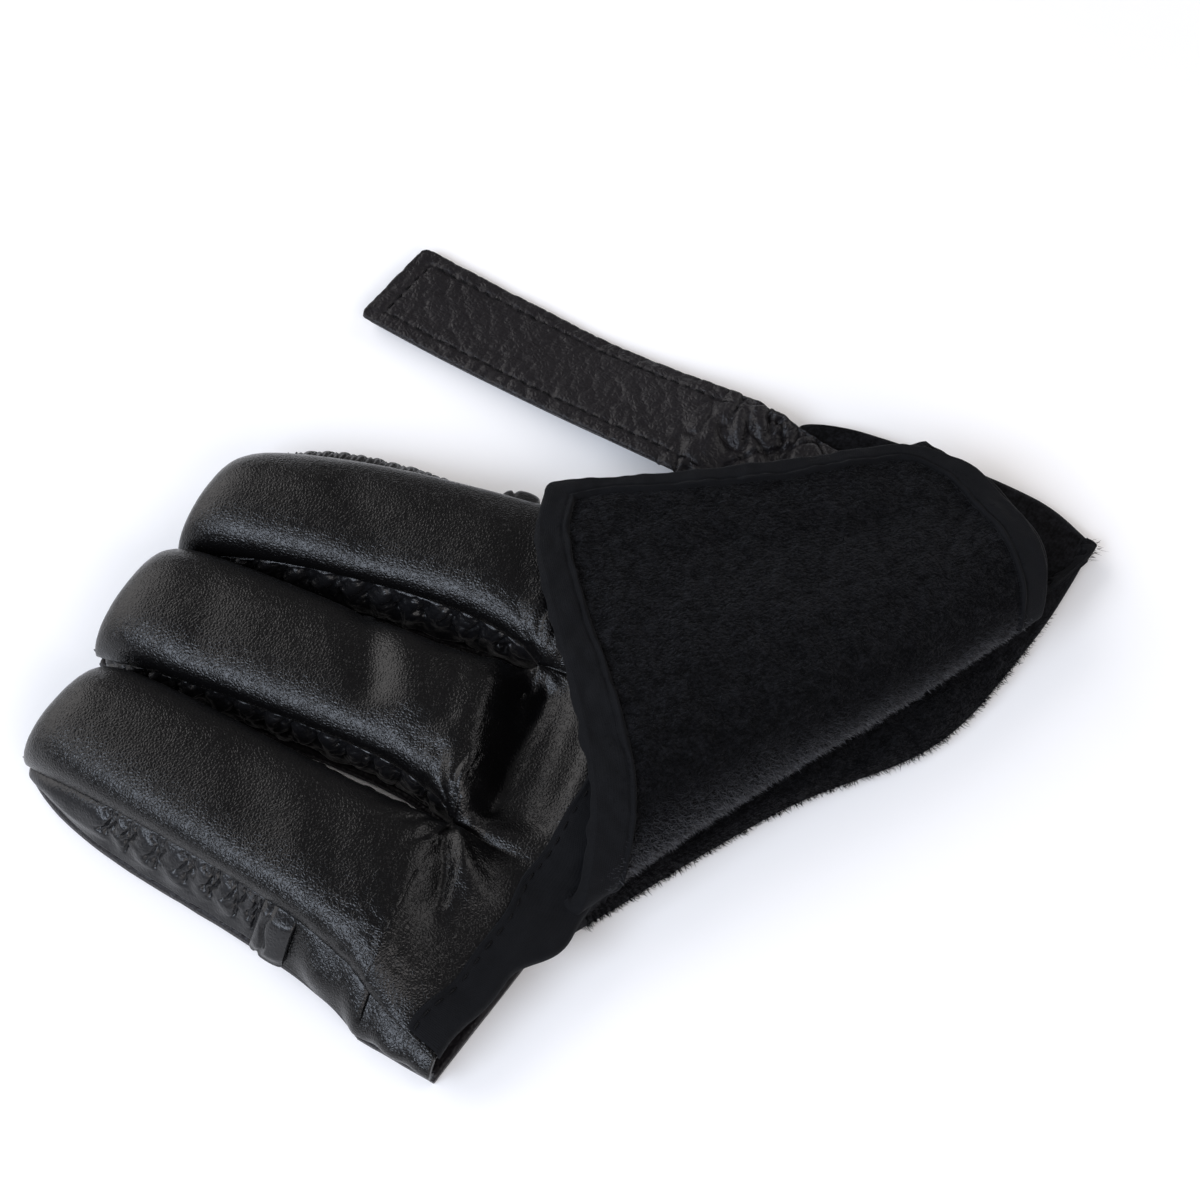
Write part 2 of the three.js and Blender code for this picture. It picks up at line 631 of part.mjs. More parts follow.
// The table place whose along column has the given share.
function placeAlongStrap(share) {
  let low = 0;
  let high = 1;
  for (let i = 0; i < halvingCount; i++) {
    const middle = (low + high) / 2;
    if (alongOf(middle) < share) low = middle;
    else high = middle;
  }
  return low;
}

const material = (color, roughness) => new THREE.MeshStandardMaterial({ color, roughness, metalness: 0 });
const smoothLeather = material(0x1b1b1d, 0.38);
const softLeather = material(0x1d1d1f, 0.5);
const grainLeather = material(0x232226, 0.55);
const fleece = material(0x0d0e10, 1.0);
const tape = material(0x17181a, 0.85);
const hook = material(0x101012, 0.9);

const glove = new THREE.Group();
function add(name, geometry, look) {
  const mesh = new THREE.Mesh(geometry, look);
  mesh.name = name;
  glove.add(mesh);
}

add("palm_panel", palmPanel(), smoothLeather);
add("back_panel", backPanel(), grainLeather);
add("forchette_near", forchette(fingers.near, fingers.middle), softLeather);
add("forchette_far", forchette(fingers.middle, fingers.far), softLeather);
add("gathered_side_near", gatheredStrip(fingers.near, -1), softLeather);
add("gathered_side_far", gatheredStrip(fingers.far, 1), softLeather);
add("gusset_near", gusset(fingers.near, -1, 0), smoothLeather);
add("gusset_far", gusset(fingers.far, 1, 1), smoothLeather);
add("mouth_tape", mouthTape(), tape);
add("cuff", cuff(), fleece);
add("flap_tape_left", cuffSideTape(0, 1, tapeEndRow, cuffRow("roll")), tape);
add("flap_tape_top", flapTapeTop(), tape);
add("flap_tape_right", cuffSideTape(cuffColumns, cuffColumns - 1, tapeEndRow, cuffRow("roll")), tape);
add("wrist_tape", cuffSideTape(cuffColumns, cuffColumns - 1, cuffRow("lip") + 1, cuffRows), tape);
add("strap", strap(), grainLeather);
add("hook_patch", hookPatch(), hook);

export default glove;
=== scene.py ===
"""A three-finger archery glove lying palm side up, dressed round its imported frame.

Lengths are millimetres until a mesh is made, with +X from the fingertips to the wrist, +Y across the hand
towards the strap and +Z up. Every cloth piece is a grid of points over two parameters.
"""

from math import cos, pi, radians, sin, sqrt

import bmesh
import bpy
import numpy as np
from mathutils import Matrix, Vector


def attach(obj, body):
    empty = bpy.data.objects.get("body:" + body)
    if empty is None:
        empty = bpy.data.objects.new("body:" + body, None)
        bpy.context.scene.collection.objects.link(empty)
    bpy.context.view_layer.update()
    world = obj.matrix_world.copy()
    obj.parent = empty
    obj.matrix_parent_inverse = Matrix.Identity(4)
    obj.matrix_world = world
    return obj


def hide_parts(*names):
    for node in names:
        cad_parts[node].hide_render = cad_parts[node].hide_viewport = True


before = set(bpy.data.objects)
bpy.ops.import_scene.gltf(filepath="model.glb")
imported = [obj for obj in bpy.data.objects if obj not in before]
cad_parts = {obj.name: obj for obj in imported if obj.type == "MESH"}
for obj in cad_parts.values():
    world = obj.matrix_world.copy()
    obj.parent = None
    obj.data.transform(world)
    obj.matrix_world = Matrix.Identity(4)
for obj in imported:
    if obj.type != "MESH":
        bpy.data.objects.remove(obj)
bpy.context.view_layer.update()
scene = bpy.context.scene

MM = 0.001
random = np.random.default_rng(20)

# Sizes of the glove
HAND = 100.0  # across the three finger bases
LENGTH = 79.0  # of the middle finger
WIDTH = 25.0  # of a finger
HEIGHT = 20.0  # of a finger
LEATHER = 1.5
SIDE = 1.2  # side strips
FLEECE = 2.0
TAPE = 0.8
TAPE_WIDTH = 5.0
HEM_TAPE_WIDTH = 6.4
LIFT = 1.4  # of a taped edge
SEAM_DROP = 1.3
CURL = 0.9
SIDE_FOOT = CURL + LEATHER + SEAM_DROP
WRIST_SEAM = 0.8
STRIP_HEIGHT = 10.0  # of the outer strips laid flat
GAP_HEIGHT = 9.0  # of the strips between the fingers laid flat
SQUARENESS = 2.2
GATHER_END = 0.24
STRIP_TIP = 0.77
CROTCH_RADIUS = 2.4
STRAP_WIDTH = 22.0
STRAP_LENGTH = 116.0
STRAP_THICKNESS = 1.5
HOOK_THICKNESS = 1.3
HOOK_LENGTH = 82.0
HOOK_INSET = 0.8
LAYER_GAP = 0.4

# The three fingers: base sides in hand widths, tip and the rest in finger widths, length in finger lengths.
FINGERS = {
    "far": dict(
        base=(0.16, 0.51), tip=0.972, body=0.99, widen=0.1, length=0.962,
        bend=2.0, shoulder=1.0, lead=0.03, splay=(0.08, 0.15), puff=0.19,
    ),
    "middle": dict(
        base=(-0.2, 0.16), tip=-0.032, body=1.08, widen=-0.14, length=0.995,
        bend=1.0, shoulder=0.94, lead=0.04, splay=(0.0, 0.1), puff=0.0,
    ),
    "near": dict(
        base=(-0.54, -0.2), tip=-1.088, body=0.97, widen=0.12, length=0.98,
        bend=0.9, shoulder=0.98, lead=0.08, splay=(0.2, 0.0), puff=0.03,
    ),
}
ORDER = ("near", "middle", "far")

# Sections along a finger, from its base to its tip.
SECTIONS = dict(
    reach=(0.0, 0.07, 0.19, 0.35, 0.52, 0.69, 0.83, 0.92, 0.975, 0.998, 1.0),
    flare=(1.0, 0.5, 0.12, 0, 0, 0, 0, 0, 0, 0, 0),
    taper=(1, 1, 1, 1, 1, 1, 1, 0.985, 0.93, 0.86, 0.81),
    crown=(0.96, 1.0, 1.02, 1.0, 0.99, 0.98, 0.96, 0.92, 0.8, 0.55, 0.2),
    seam=(0.58, 0.63, 0.68, 0.69, 0.68, 0.64, 0.56, 0.45, 0.33, 0.22, 0.165),
)

# The palm's free edge, from the far side of the hand to the near side.
HEM = dict(
    x=(0.055, 0.15, 0.22, 0.24, 0.226, 0.2, 0.155),
    y=(0.51, 0.36, 0.17, -0.02, -0.22, -0.41, -0.6),
    z=(0.6, 0.86, 0.84, 0.74, 0.56, 0.54, 0.48),
)

# The cuff: ply, then four stations of x, y, z and lift from the finger side to the wrist side.
CUFF = (
    (1, (-0.118, 0.47, 0.96, 1), (0.09, 0.587, 0.96, 1), (0.29, 0.725, 0.88, 1), (0.49, 0.888, 0.74, 1)),
    (1, (-0.079, 0.341, 1.06, 1), (0.145, 0.495, 0.98, 1), (0.365, 0.66, 0.87, 1), (0.6, 0.865, 0.7, 1)),
    (1, (0.018, 0.198, 1.06, 1), (0.225, 0.39, 1, 1), (0.43, 0.575, 0.89, 1), (0.675, 0.823, 0.67, 1)),
    (1, (0.138, 0.045, 1, 1), (0.318, 0.242, 1.03, 1), (0.522, 0.47, 0.93, 1), (0.745, 0.77, 0.68, 1)),
    (1, (0.232, -0.1, 0.87, 1), (0.405, 0.12, 0.89, 1), (0.6, 0.375, 0.81, 1), (0.79, 0.71, 0.6, 1)),
    (0.5, (0.272, -0.235, 0.55, 1), (0.45, 0.055, 0.61, 0), (0.64, 0.345, 0.6, 0), (0.808, 0.65, 0.48, 0)),
    (0, (0.258, -0.268, 0.45, 0), (0.42, 0.085, 0.42, 0), (0.602, 0.39, 0.42, 0), (0.785, 0.675, 0.38, 0)),
    (0, (0.256, -0.279, 0.34, 0), (0.418, 0.092, 0.31, 0), (0.602, 0.402, 0.31, 0), (0.775, 0.7, 0.32, 0)),
    (0, (0.255, -0.283, 0.25, 0), (0.468, 0.086, 0.25, 0), (0.7, 0.386, 0.27, 0), (0.818, 0.775, 0.29, 0)),
    (0, (0.25, -0.285, 0.13, 0), (0.507, 0.11, 0.13, 0), (0.782, 0.437, 0.14, 0), (0.857, 0.89, 0.15, 0.8)),
    (0, (0.23, -0.27, 0, 0), (0.485, 0.127, 0, 0), (0.757, 0.45, 0, 0.7), (0.835, 0.9, 0, 1.5)),
    (0, (0.2, -0.07, 0, 0), (0.375, 0.25, 0, 0), (0.6, 0.56, 0, 0.7), (0.72, 0.95, 0, 1.5)),
    (0, (0.16, 0.24, 0, 0), (0.28, 0.43, 0, 0), (0.42, 0.67, 0, 0.7), (0.5, 0.97, 0, 1.5)),
    (0, (0.12, 0.53, 0, 0), (0.15, 0.67, 0, 0), (0.18, 0.8, 0, 0.7), (0.235, 0.965, 0, 1.5)),
)
CUFF_LINES = len(CUFF) - 1
ROLL, LIP, UNDER_EDGE = (k / CUFF_LINES for k in (5, 9, 10))

# The strap's edges above the lowest it can lie, in finger heights, from its free end.
STRAP = dict(
    along=(0.0, 0.18, 0.4, 0.58, 0.7, 0.8, 0.9, 1.0),
    near=(0.06, 0.05, 0.11, 0.2, 0.24, 0.14, 0.0, 0.0),
    far=(0.02, 0.0, 0.01, 0.15, 0.3, 0.2, 0.04, 0.02),
)
STRAP_END = np.array([-71.0, 94.8, 0.0])
STRAP_TURN = radians(-9.5)


# Curves and grids
def evenly(count):
    return np.linspace(0, 1, count)


def lattice(first, second):
    return np.meshgrid(first, second, indexing="ij")


def through(values, t):
    """Catmull-Rom value through evenly spaced numbers, with straight run-outs; t runs from 0 to 1.

    values is a list, or rows stacked on the first axis with one number for each place of t.
    """
    values = np.asarray(values, float)
    if values.ndim == 1:
        values = values.reshape(-1, *[1] * np.ndim(t))
    last = len(values) - 1
    place = np.clip(t, 0, 1) * last
    i = np.minimum(np.floor(place).astype(int), last - 1)
    f = place - i

    def value(k):
        return np.take_along_axis(values, np.clip(k, 0, last)[None], 0)[0]

    b, c = value(i), value(i + 1)
    a = np.where(i > 0, value(i - 1), 2 * b - c)
    d = np.where(i + 2 <= last, value(i + 2), 2 * c - b)
    v0, v1 = (c - a) / 2, (d - b) / 2
    return b + v0 * f + (3 * (c - b) - 2 * v0 - v1) * f * f + (2 * (b - c) + v0 + v1) * f * f * f


def smooth(t, low, high):
    """0 below low, 1 above high, and 3t2 - 2t3 between."""
    t = np.clip((t - low) / (high - low), 0, 1)
    return t * t * (3 - 2 * t)


def mix(a, b, share):
    return a + (b - a) * share


def bell(x, width):
    return np.exp(-((x / width) ** 2))


def stack(x, y, z):
    return np.stack(np.broadcast_arrays(x, y, z), axis=-1).astype(float)


def unit(vectors):
    return vectors / np.maximum(np.linalg.norm(vectors, axis=-1, keepdims=True), 1e-9)


def ripples(points, wavelength, seed, waves=14):
    """Sine waves of about one wavelength in random directions over 3-D points, about -1 to 1."""
    source = np.random.default_rng(seed)
    directions = unit(source.normal(size=(waves, 3))) * source.uniform(0.7, 1.4, (waves, 1))
    phases = source.uniform(0, 2 * pi, waves)
    return np.sin(points @ directions.T * (2 * pi / wavelength) + phases).sum(-1) / sqrt(waves)


def grid_normals(points):
    """Unit normals of a grid of points."""
    return unit(np.cross(np.gradient(points, axis=0), np.gradient(points, axis=1)))


def grid_faces(rows, columns, around=False):
    """Quads of a rows by columns grid, whose outer side is first-axis step cross second-axis step."""
    steps = columns if around else columns - 1
    i, j = lattice(np.arange(rows - 1), np.arange(steps))
    a = i * columns + j
    b = i * columns + (j + 1) % columns
    return np.stack([a, a + columns, b + columns, b], -1).reshape(-1, 4)


def distance(a, b):
    return np.linalg.norm(a - b, axis=-1)


def span(points, axis):
    """Arc length along one axis of a grid, averaged over the other."""
    step = np.linalg.norm(np.diff(points, axis=axis), axis=-1).mean(axis=1 - axis)
    return np.concatenate([[0], np.cumsum(step)])


# Meshes
def make_mesh(name, points, faces, finish, uv=None):
    """A mesh object from points in millimetres, same-sized faces and a UV for each point."""
    count = faces.shape[1]
    mesh = bpy.data.meshes.new(name)
    mesh.vertices.add(len(points))
    mesh.vertices.foreach_set("co", (points * MM).astype(np.float32).ravel())
    mesh.loops.add(faces.size)
    mesh.loops.foreach_set("vertex_index", faces.astype(np.int32).ravel())
    mesh.polygons.add(len(faces))
    mesh.polygons.foreach_set("loop_start", np.arange(0, faces.size, count, dtype=np.int32))
    mesh.polygons.foreach_set("use_smooth", np.full(len(faces), True))
    if uv is not None:
        layer = mesh.uv_layers.new(name="UVMap")
        layer.data.foreach_set("uv", uv[faces.ravel()].astype(np.float32).ravel())
    mesh.update(calc_edges=True)
    mesh.validate()
    mesh.materials.append(finish)
    piece = bpy.data.objects.new(name, mesh)
    scene.collection.objects.link(piece)
    return piece


def rework(piece, change):
    """Runs a change on a piece's mesh."""
    work = bmesh.new()
    work.from_mesh(piece.data)
    change(work)
    work.to_mesh(piece.data)
    work.free()


def mark(piece, name, values):
    """A number on each point, for its finish."""
    layer = piece.data.attributes.new(name, "FLOAT", "POINT")
    layer.data.foreach_set("value", values.astype(np.float32).ravel())


def surface(name, grids, finish, thickness=0.0, weld=False, around=False):
    """One piece from grids of points, with UVs of arc length in centimetres.

    A thickness gives it a wall that grows in from its outer face. weld merges points that meet.
    """
    points, faces, uvs, first = [], [], [], 0
    for grid in grids:
        rows, columns = grid.shape[:2]
        points.append(grid.reshape(-1, 3))
        faces.append(grid_faces(rows, columns, around) + first)
        uvs.append(np.stack(lattice(span(grid, 0), span(grid, 1)), -1).reshape(-1, 2) * 0.1)
        first += rows * columns
    piece = make_mesh(name, np.concatenate(points), np.concatenate(faces), finish, np.concatenate(uvs))
    if weld:
        rework(piece, lambda work: bmesh.ops.remove_doubles(work, verts=work.verts, dist=1e-5))
    if thickness:
        solid = piece.modifiers.new("wall", "SOLIDIFY")
        solid.thickness = thickness * MM
        solid.offset = -1
        solid.use_even_offset = False
    return piece


# Fingers
def finger_at(finger, t):
    """Centre, half width, seam and crown height of a finger at t, from 0 at its base to 1 at its tip."""
    f = FINGERS[finger]
    reach = np.maximum(0, through(SECTIONS["reach"], t))
    near, far = f["base"]
    body = WIDTH * (f["body"] + f["widen"] * (1 - reach)) * through(SECTIONS["taper"], t)
    return dict(
        x=-LENGTH * f["length"] * reach,
        y=mix(HAND * (near + far) / 2, WIDTH * f["tip"], reach ** f["bend"]),
        half=mix(body, HAND * (far - near), through(SECTIONS["flare"], t)) / 2,
        skew=WIDTH * f["lead"] * smooth(reach, 0.5, 1),
        seam=HEIGHT * through(SECTIONS["seam"], t),
        crown=HEIGHT * through(SECTIONS["crown"], t) * mix(f["shoulder"], 1, smooth(t, 0, 0.3)),
    )


ROLL_RADIUS = 1.0  # of the turned-in edge of the front leather
ROLL_TURN = 1.3  # how far it turns, as a share of a quarter circle


def arch(finger, t, across):
    """The palm side of a finger: a superellipse arch over across from -1 to 1, and past that its edge.

    Past 1 the leather turns in under itself on a quarter circle of ROLL_RADIUS, which dies away at the tip.
    """
    s = finger_at(finger, t)
    inside = np.clip(np.abs(across), 0, 1)
    angle = inside * pi / 2
    out = np.sin(angle) ** (2 / SQUARENESS)
    up = np.maximum(np.cos(angle), 0) ** (2 / SQUARENESS)
    turn = np.maximum(np.abs(across) - 1, 0) * (pi / 2) * (1 - smooth(t, 0.86, 0.96))
    side = np.sign(across)
    return stack(
        s["x"] + s["skew"] * side * out,
        s["y"] + side * (s["half"] * out - ROLL_RADIUS * (1 - np.cos(turn))),
        s["seam"] + (s["crown"] - s["seam"]) * up - ROLL_RADIUS * np.sin(turn),
    )


def splay_at(finger, side, t):
    """How far the back panel stands out past the palm seam."""
    near, far = FINGERS[finger]["splay"]
    outer = (finger == "near" and side < 0) or (finger == "far" and side > 0)
    grown = 1.0 if outer else smooth(t, 0.05, 0.35)
    return WIDTH * (near if side < 0 else far) * grown * (1 - smooth(t, 0.45, 0.85))


def hand_splay(finger, side, depth):
    return splay_at(finger, side, np.zeros(1)) * (1 - 0.85 * depth)


def base_row(share, point_of):
    """The line across the finger bases, by shares of the hand from the near side."""
    place = share * 3
    whole = np.clip(np.floor(place).astype(int), 0, 2)
    points = np.zeros((*np.shape(share), 3))
    for k, finger in enumerate(ORDER):
        here = whole == k
        points[here] = point_of(finger, (2 * (place - k) - 1)[here])
    return points


def hem(share):
    t = 1 - share
    return stack(HAND * through(HEM["x"], t), HAND * through(HEM["y"], t), HEIGHT * through(HEM["z"], t))


def palm_plain(share, depth):
    """The palm without its folds: from the finger bases to the hem, falling behind the middle finger."""
    edge = np.clip(share, 0, 1)
    start = base_row(edge, lambda finger, across: arch(finger, np.zeros_like(across), across))
    end = hem(edge)
    point = mix(start, end, depth[..., None])
    point[..., 2] = mix(start[..., 2], end[..., 2], smooth(depth, 0, 1) ** 0.6)
    dip = bell(point[..., 0] - 6.0, 7.5) * bell(point[..., 1], 15.0)
    point[..., 2] -= smooth(depth, 0, 0.3) * 6.0 * dip
    return point


# Where the leather gathers at the two crotches.
CROTCH_FAR = (0.0, 16.0)
CROTCH_NEAR = (0.0, -20.0)


def off_line(x, y, start, end):
    """Distance from a straight line from start to end."""
    ax, ay = start
    dx, dy = end[0] - ax, end[1] - ay
    share = np.clip(((x - ax) * dx + (y - ay) * dy) / (dx * dx + dy * dy), 0, 1)
    return np.hypot(x - ax - share * dx, y - ay - share * dy)


def relief(points):
    """Folds of the front leather, as heights over its points' x and y.

    Puckers fan out from each crotch, the middle finger ends in a steep slope down to a hollow, and furrows
    and ridges are bells about straight lines.
    """
    x, y = points[..., 0], points[..., 1]
    height = np.zeros_like(x)
    for (cx, cy), count, reach, depth, phase in (
        (CROTCH_NEAR, 13, 15.0, 0.9, 0.4),
        (CROTCH_FAR, 9, 10.0, 0.7, 1.0),
    ):
        dx, dy = x - cx, y - cy
        radius = np.hypot(dx, dy)
        turn = np.arctan2(dy, dx)
        wander = 0.55 * np.sin(radius * 0.31 + 2.1 * turn) + 0.3 * np.sin(radius * 0.73 + phase)
        fan = np.abs(np.sin(count * turn / 2 + wander + phase)) ** 0.6 - 0.62
        height += depth * fan * bell(radius - 4.5, reach * 0.5) * smooth(radius, 1.0, 5.0)
    slope = x + 0.22 * (y + 2)
    sides = smooth(y, -20.0, -13.0) * (1 - smooth(y, 11.0, 18.0))
    height -= 5.2 * smooth(slope, -3.5, 3.0) * (1 - smooth(slope, 6.0, 17.0)) * sides
    height += 1.3 * bell(slope + 6.0, 5.0) * bell(y + 6.0, 10.0)
    for start, end, width, rise in (
        ((-0.5, -21.5), (4.5, -37.0), 2.6, -1.5),
        ((2.5, -22.5), (11.0, -31.0), 3.0, 1.7),
        ((0.5, -22.0), (5.0, -35.0), 1.2, -1.3),
        ((-1.5, -15.5), (1.0, -11.5), 3.0, 1.5),
        ((-3.0, -20.5), (-8.0, -16.5), 1.1, -0.8),
        ((1.5, -19.5), (4.5, -14.5), 1.2, -1.0),
        ((-32.0, 10.0), (-24.0, -4.0), 3.6, -1.1),
        ((-23.0, 8.0), (-15.0, -4.0), 4.2, 0.6),
        ((-12.0, 6.0), (-8.0, -4.0), 2.5, -0.5),
        ((-40.0, -24.0), (-30.0, -36.0), 5.0, -0.4),
        ((-20.0, -27.0), (-12.0, -40.0), 4.5, -0.5),
        ((-48.0, 34.0), (-38.0, 24.0), 5.0, -0.4),
        ((-16.0, 42.0), (-8.0, 28.0), 4.5, -0.6),
        ((-62.0, 4.0), (-56.0, -8.0), 5.0, -0.35),
        ((6.0, -40.0), (14.0, -47.0), 3.5, -0.5),
        ((6.0, 40.0), (12.0, 26.0), 4.0, -0.6),
    ):
        height += rise * bell(off_line(x, y, start, end), width)
    return height


def creases(points, seed, size, depth):
    """Fine worn wrinkles: the narrow valleys between rounded cells of waves."""
    wave = ripples(points, size, seed) + 0.5 * ripples(points, size * 0.45, seed + 1)
    return -depth * np.exp(-np.abs(wave) * 3.2)


def front_leather():
    """Three stalls and the palm, welded where they meet."""
    edge = np.linspace(1, 1 + ROLL_TURN, 7)[1:]
    across = np.concatenate([-edge[::-1], np.linspace(-1, 1, 57), edge])
    tt, aa = lattice(np.linspace(1, 0, 121), across)
    grids = [arch(finger, tt, aa) for finger in ORDER]
    depth, share = lattice(evenly(37), evenly(3 * 56 + 1))
    palm = palm_plain(share, depth)
    turn = (edge - 1) * pi / 2
    roll = ROLL_RADIUS * stack(0, 1 - np.cos(turn), -np.sin(turn))
    near_edge = palm[:, :1] + roll[::-1]
    far_edge = palm[:, -1:] + roll * np.array([1, -1, 1])
    grids.append(np.concatenate([near_edge, palm, far_edge], axis=1))
    for grid in grids:
        bottom = grid[..., 2].min()
        held = smooth(grid[..., 2], bottom + 1.0, bottom + 7.0)
        grid[..., 2] += relief(grid) * held
        worked = 0.15 + 0.85 * bell(grid[..., 0] - 2.0, 12.0)
        grid += grid_normals(grid) * (creases(grid, 5, 7.0, 0.3) * held * worked)[..., None]
    return surface("front_leather", grids, LEATHER_SMOOTH, LEATHER, weld=True)


# Side strips
def side_at(finger, side, t, down, bulge, inset):
    """The outer face of a side wall, down from the palm seam (0) to the back panel (1)."""
    s = finger_at(finger, t)
    out = s["half"] - inset + bulge + down * splay_at(finger, side, t)
    return stack(s["x"] + side * s["skew"], s["y"] + side * out, mix(s["seam"] - SEAM_DROP, SIDE_FOOT, down))


CREASE_DEPTH = 1.3


def belly(down):
    """The swell of a side wall, fullest a quarter of the way down."""
    return np.sin(pi * np.sqrt(down.clip(0, 1)))


def gathers(run, down, centres, height, seed, pad):
    """How gathers push a strip out: soft pads between bundles of three short sharp creases.

    The creases are straight over the strip laid flat, but for two sine waves along it.
    """
    source = np.random.default_rng(seed)
    v = down * height
    u = run + 0.35 * np.sin(1.5 * v + seed) + 0.15 * np.sin(3.4 * v + 2 * seed)
    pads = np.ones_like(u)
    lines = np.zeros_like(u)
    for centre in centres:
        pads = pads - bell(u - centre, 1.7)
        for offset, lean, low in ((-1.2, 1.9, 0.62), (0.3, 1.6, 0.5), (1.5, -1.9, 0.4)):
            top = centre + offset + source.uniform(-0.3, 0.3)
            foot = top + lean + source.uniform(-0.5, 0.5)
            low = low + source.uniform(-0.12, 0.12)
            crease = np.exp(-off_line(u, v, (top, 0.06 * height), (foot, low * height)) / 0.26)
            lines = np.maximum(lines, source.uniform(0.6, 1.0) * crease)
    loft = np.sin(pi * down.clip(0.03, 0.97)) ** 0.7 * (1 - 0.8 * smooth(down, 0.55, 0.95))
    return pad * pads * loft - CREASE_DEPTH * lines


def side_wall(name, grid, side, finish, thickness=SIDE):
    """A wall beside a finger or the hand, with its face turned outwards."""
    return surface(name, [grid[::-1] if side > 0 else grid], finish, thickness)


def gathered_strip(name, finger, side, centres, seed, pad):
    """The outer strip of a finger, tucked in at its upper edge and towards the tip."""
    along, down = lattice(evenly(441), np.linspace(-0.1, 1, 61))
    t = mix(GATHER_END, STRIP_TIP + 0.1, along)
    room = 1 - smooth(along, 0.9, 1.0) * 0.8
    puff = WIDTH * FINGERS[finger]["puff"] * belly(down) * np.sin(pi * along)
    run = abs(finger_at(finger, t)["x"] - finger_at(finger, np.full(1, GATHER_END))["x"])
    folds = gathers(run, down, centres, STRIP_HEIGHT, seed, pad)
    soft = 0.12 * ripples(stack(run, down * STRIP_HEIGHT, 0), 7.0, seed + 1)
    tucked = 1.5 * smooth(-down, 0.0, 0.07) + 3.0 * smooth(along, 0.84, 1.0) ** 1.5
    grid = side_at(finger, side, t, down, puff + (folds + soft) * room - tucked, 0.35)
    return side_wall(name, grid, side, LEATHER_SOFT)


def forchette(name, near_finger, far_finger, seed):
    """The strip between two fingers: down one, round the crotch and back up the other.

    On the nearer finger it has flatter pads and bulges out from under the palm seam.
    """
    legs, turn = 260, 14
    kk, down = lattice(np.arange(2 * legs + turn + 1), np.linspace(-0.06, 1, 45))
    crotch_y = HAND * FINGERS[near_finger]["base"][1]
    crotch_top = finger_at(near_finger, np.zeros(1))["seam"][0] - LEATHER - SEAM_DROP
    low = mix(crotch_top, SIDE_FOOT, down)
    angle = np.clip((kk - legs) / turn, 0, 1) * pi - pi / 2
    grid = stack(CROTCH_RADIUS * np.cos(angle), crotch_y + CROTCH_RADIUS * np.sin(angle), low)
    for finger, side, leg in ((near_finger, 1, kk <= legs), (far_finger, -1, kk >= legs + turn)):
        along = np.where(side > 0, 1 - kk / legs, (kk - legs - turn) / legs).clip(0, 1)
        t = (STRIP_TIP + 0.08) * along
        closing = np.maximum(0, 1 - t / 0.16) ** 2
        inset = mix(0.3, CROTCH_RADIUS, closing) + 3.0 * smooth(along, 0.86, 1.0) ** 1.5
        begun = smooth(along, 0.06, 0.16) * (1 - smooth(along, 0.84, 0.95))
        run = abs(finger_at(finger, t)["x"])
        pad = 1.1 if side < 0 else 0.35
        wave = gathers(run, down, np.linspace(8.0, 66.0, 11), GAP_HEIGHT, seed + side, pad)
        flat = stack(run, down * GAP_HEIGHT, side)
        wave = wave + creases(flat, seed, 8.0, 0.5) + 0.25 * ripples(flat, 6.0, seed + 2)
        bulge = 2.1 * smooth(t, 0.03, 0.1) * (1 - smooth(t, 0.3, 0.46)) * belly(down)
        tucked = 1.3 * smooth(-down, 0.0, 0.05)
        points = side_at(finger, side, t, down, wave * begun + bulge * (side > 0) - tucked, inset)
        points[..., 2] = mix(points[..., 2], low, closing)
        grid[leg] = points[leg]
    return surface(name, [grid], LEATHER_SOFT, SIDE)


GUSSET_TURN = 0.45


def gusset(name, finger, side, share):
    """The smooth side of the hand behind a gathered strip, up to the mouth of the glove."""
    along, down = lattice(evenly(81), np.linspace(-0.1, 1, 29))
    folds = 0.35 * np.sin(along * 9 + 2.2 * down) * np.sin(pi * down)
    folds = folds + 0.2 * np.sin(along * 23 - 3 * down)
    bulge = (1.4 * np.sin(pi * down.clip(0, 1)) + folds) * smooth(along, 0, 0.16)
    bulge = bulge - 1.2 * smooth(-down, 0.0, 0.07)
    t = (GATHER_END - 0.012) * (1 - along / GUSSET_TURN).clip(0, 1)
    grid = side_at(finger, side, t, down, bulge, 0.8)
    depth = ((along - GUSSET_TURN) / (1 - GUSSET_TURN)).clip(0, 1)
    top = palm_plain(np.full_like(depth, share), depth)
    behind = stack(
        top[..., 0],
        top[..., 1] + side * (bulge - 0.8 + down * hand_splay(finger, side, depth)),
        mix(top[..., 2] - LEATHER - SEAM_DROP + 0.6, SIDE_FOOT, down),
    )
    grid = np.where((along > GUSSET_TURN)[..., None], behind, grid)
    return side_wall(name, grid, side, LEATHER_SMOOTH)


def end_fold(name, finger, side):
    """The folded end of a gathered strip: a narrow rounded band over the joint."""
    across, down = lattice(evenly(25), np.linspace(-0.14, 1, 41))
    held = down.clip(0, 1)
    t = mix(GATHER_END - 0.03, GATHER_END + 0.028, across) + 0.012 * held
    dome = np.sqrt(np.clip(1 - (2 * across - 1) ** 2, 0, 1))
    lift = 1.1 + 1.5 * dome - 0.9 * bell(across - 0.7 - 0.08 * np.sin(7 * held), 0.06)
    lift = lift * (1 - 0.4 * smooth(held, 0.7, 1.0)) - 2.2 * smooth(-down, 0.0, 0.12)
    puff = WIDTH * FINGERS[finger]["puff"] * 0.35 * belly(down)
    return side_wall(name, side_at(finger, side, t, down, lift + puff, 0.2), side, LEATHER_SOFT, 0.9)


# Back panel
BACK_CORNER = 0.25


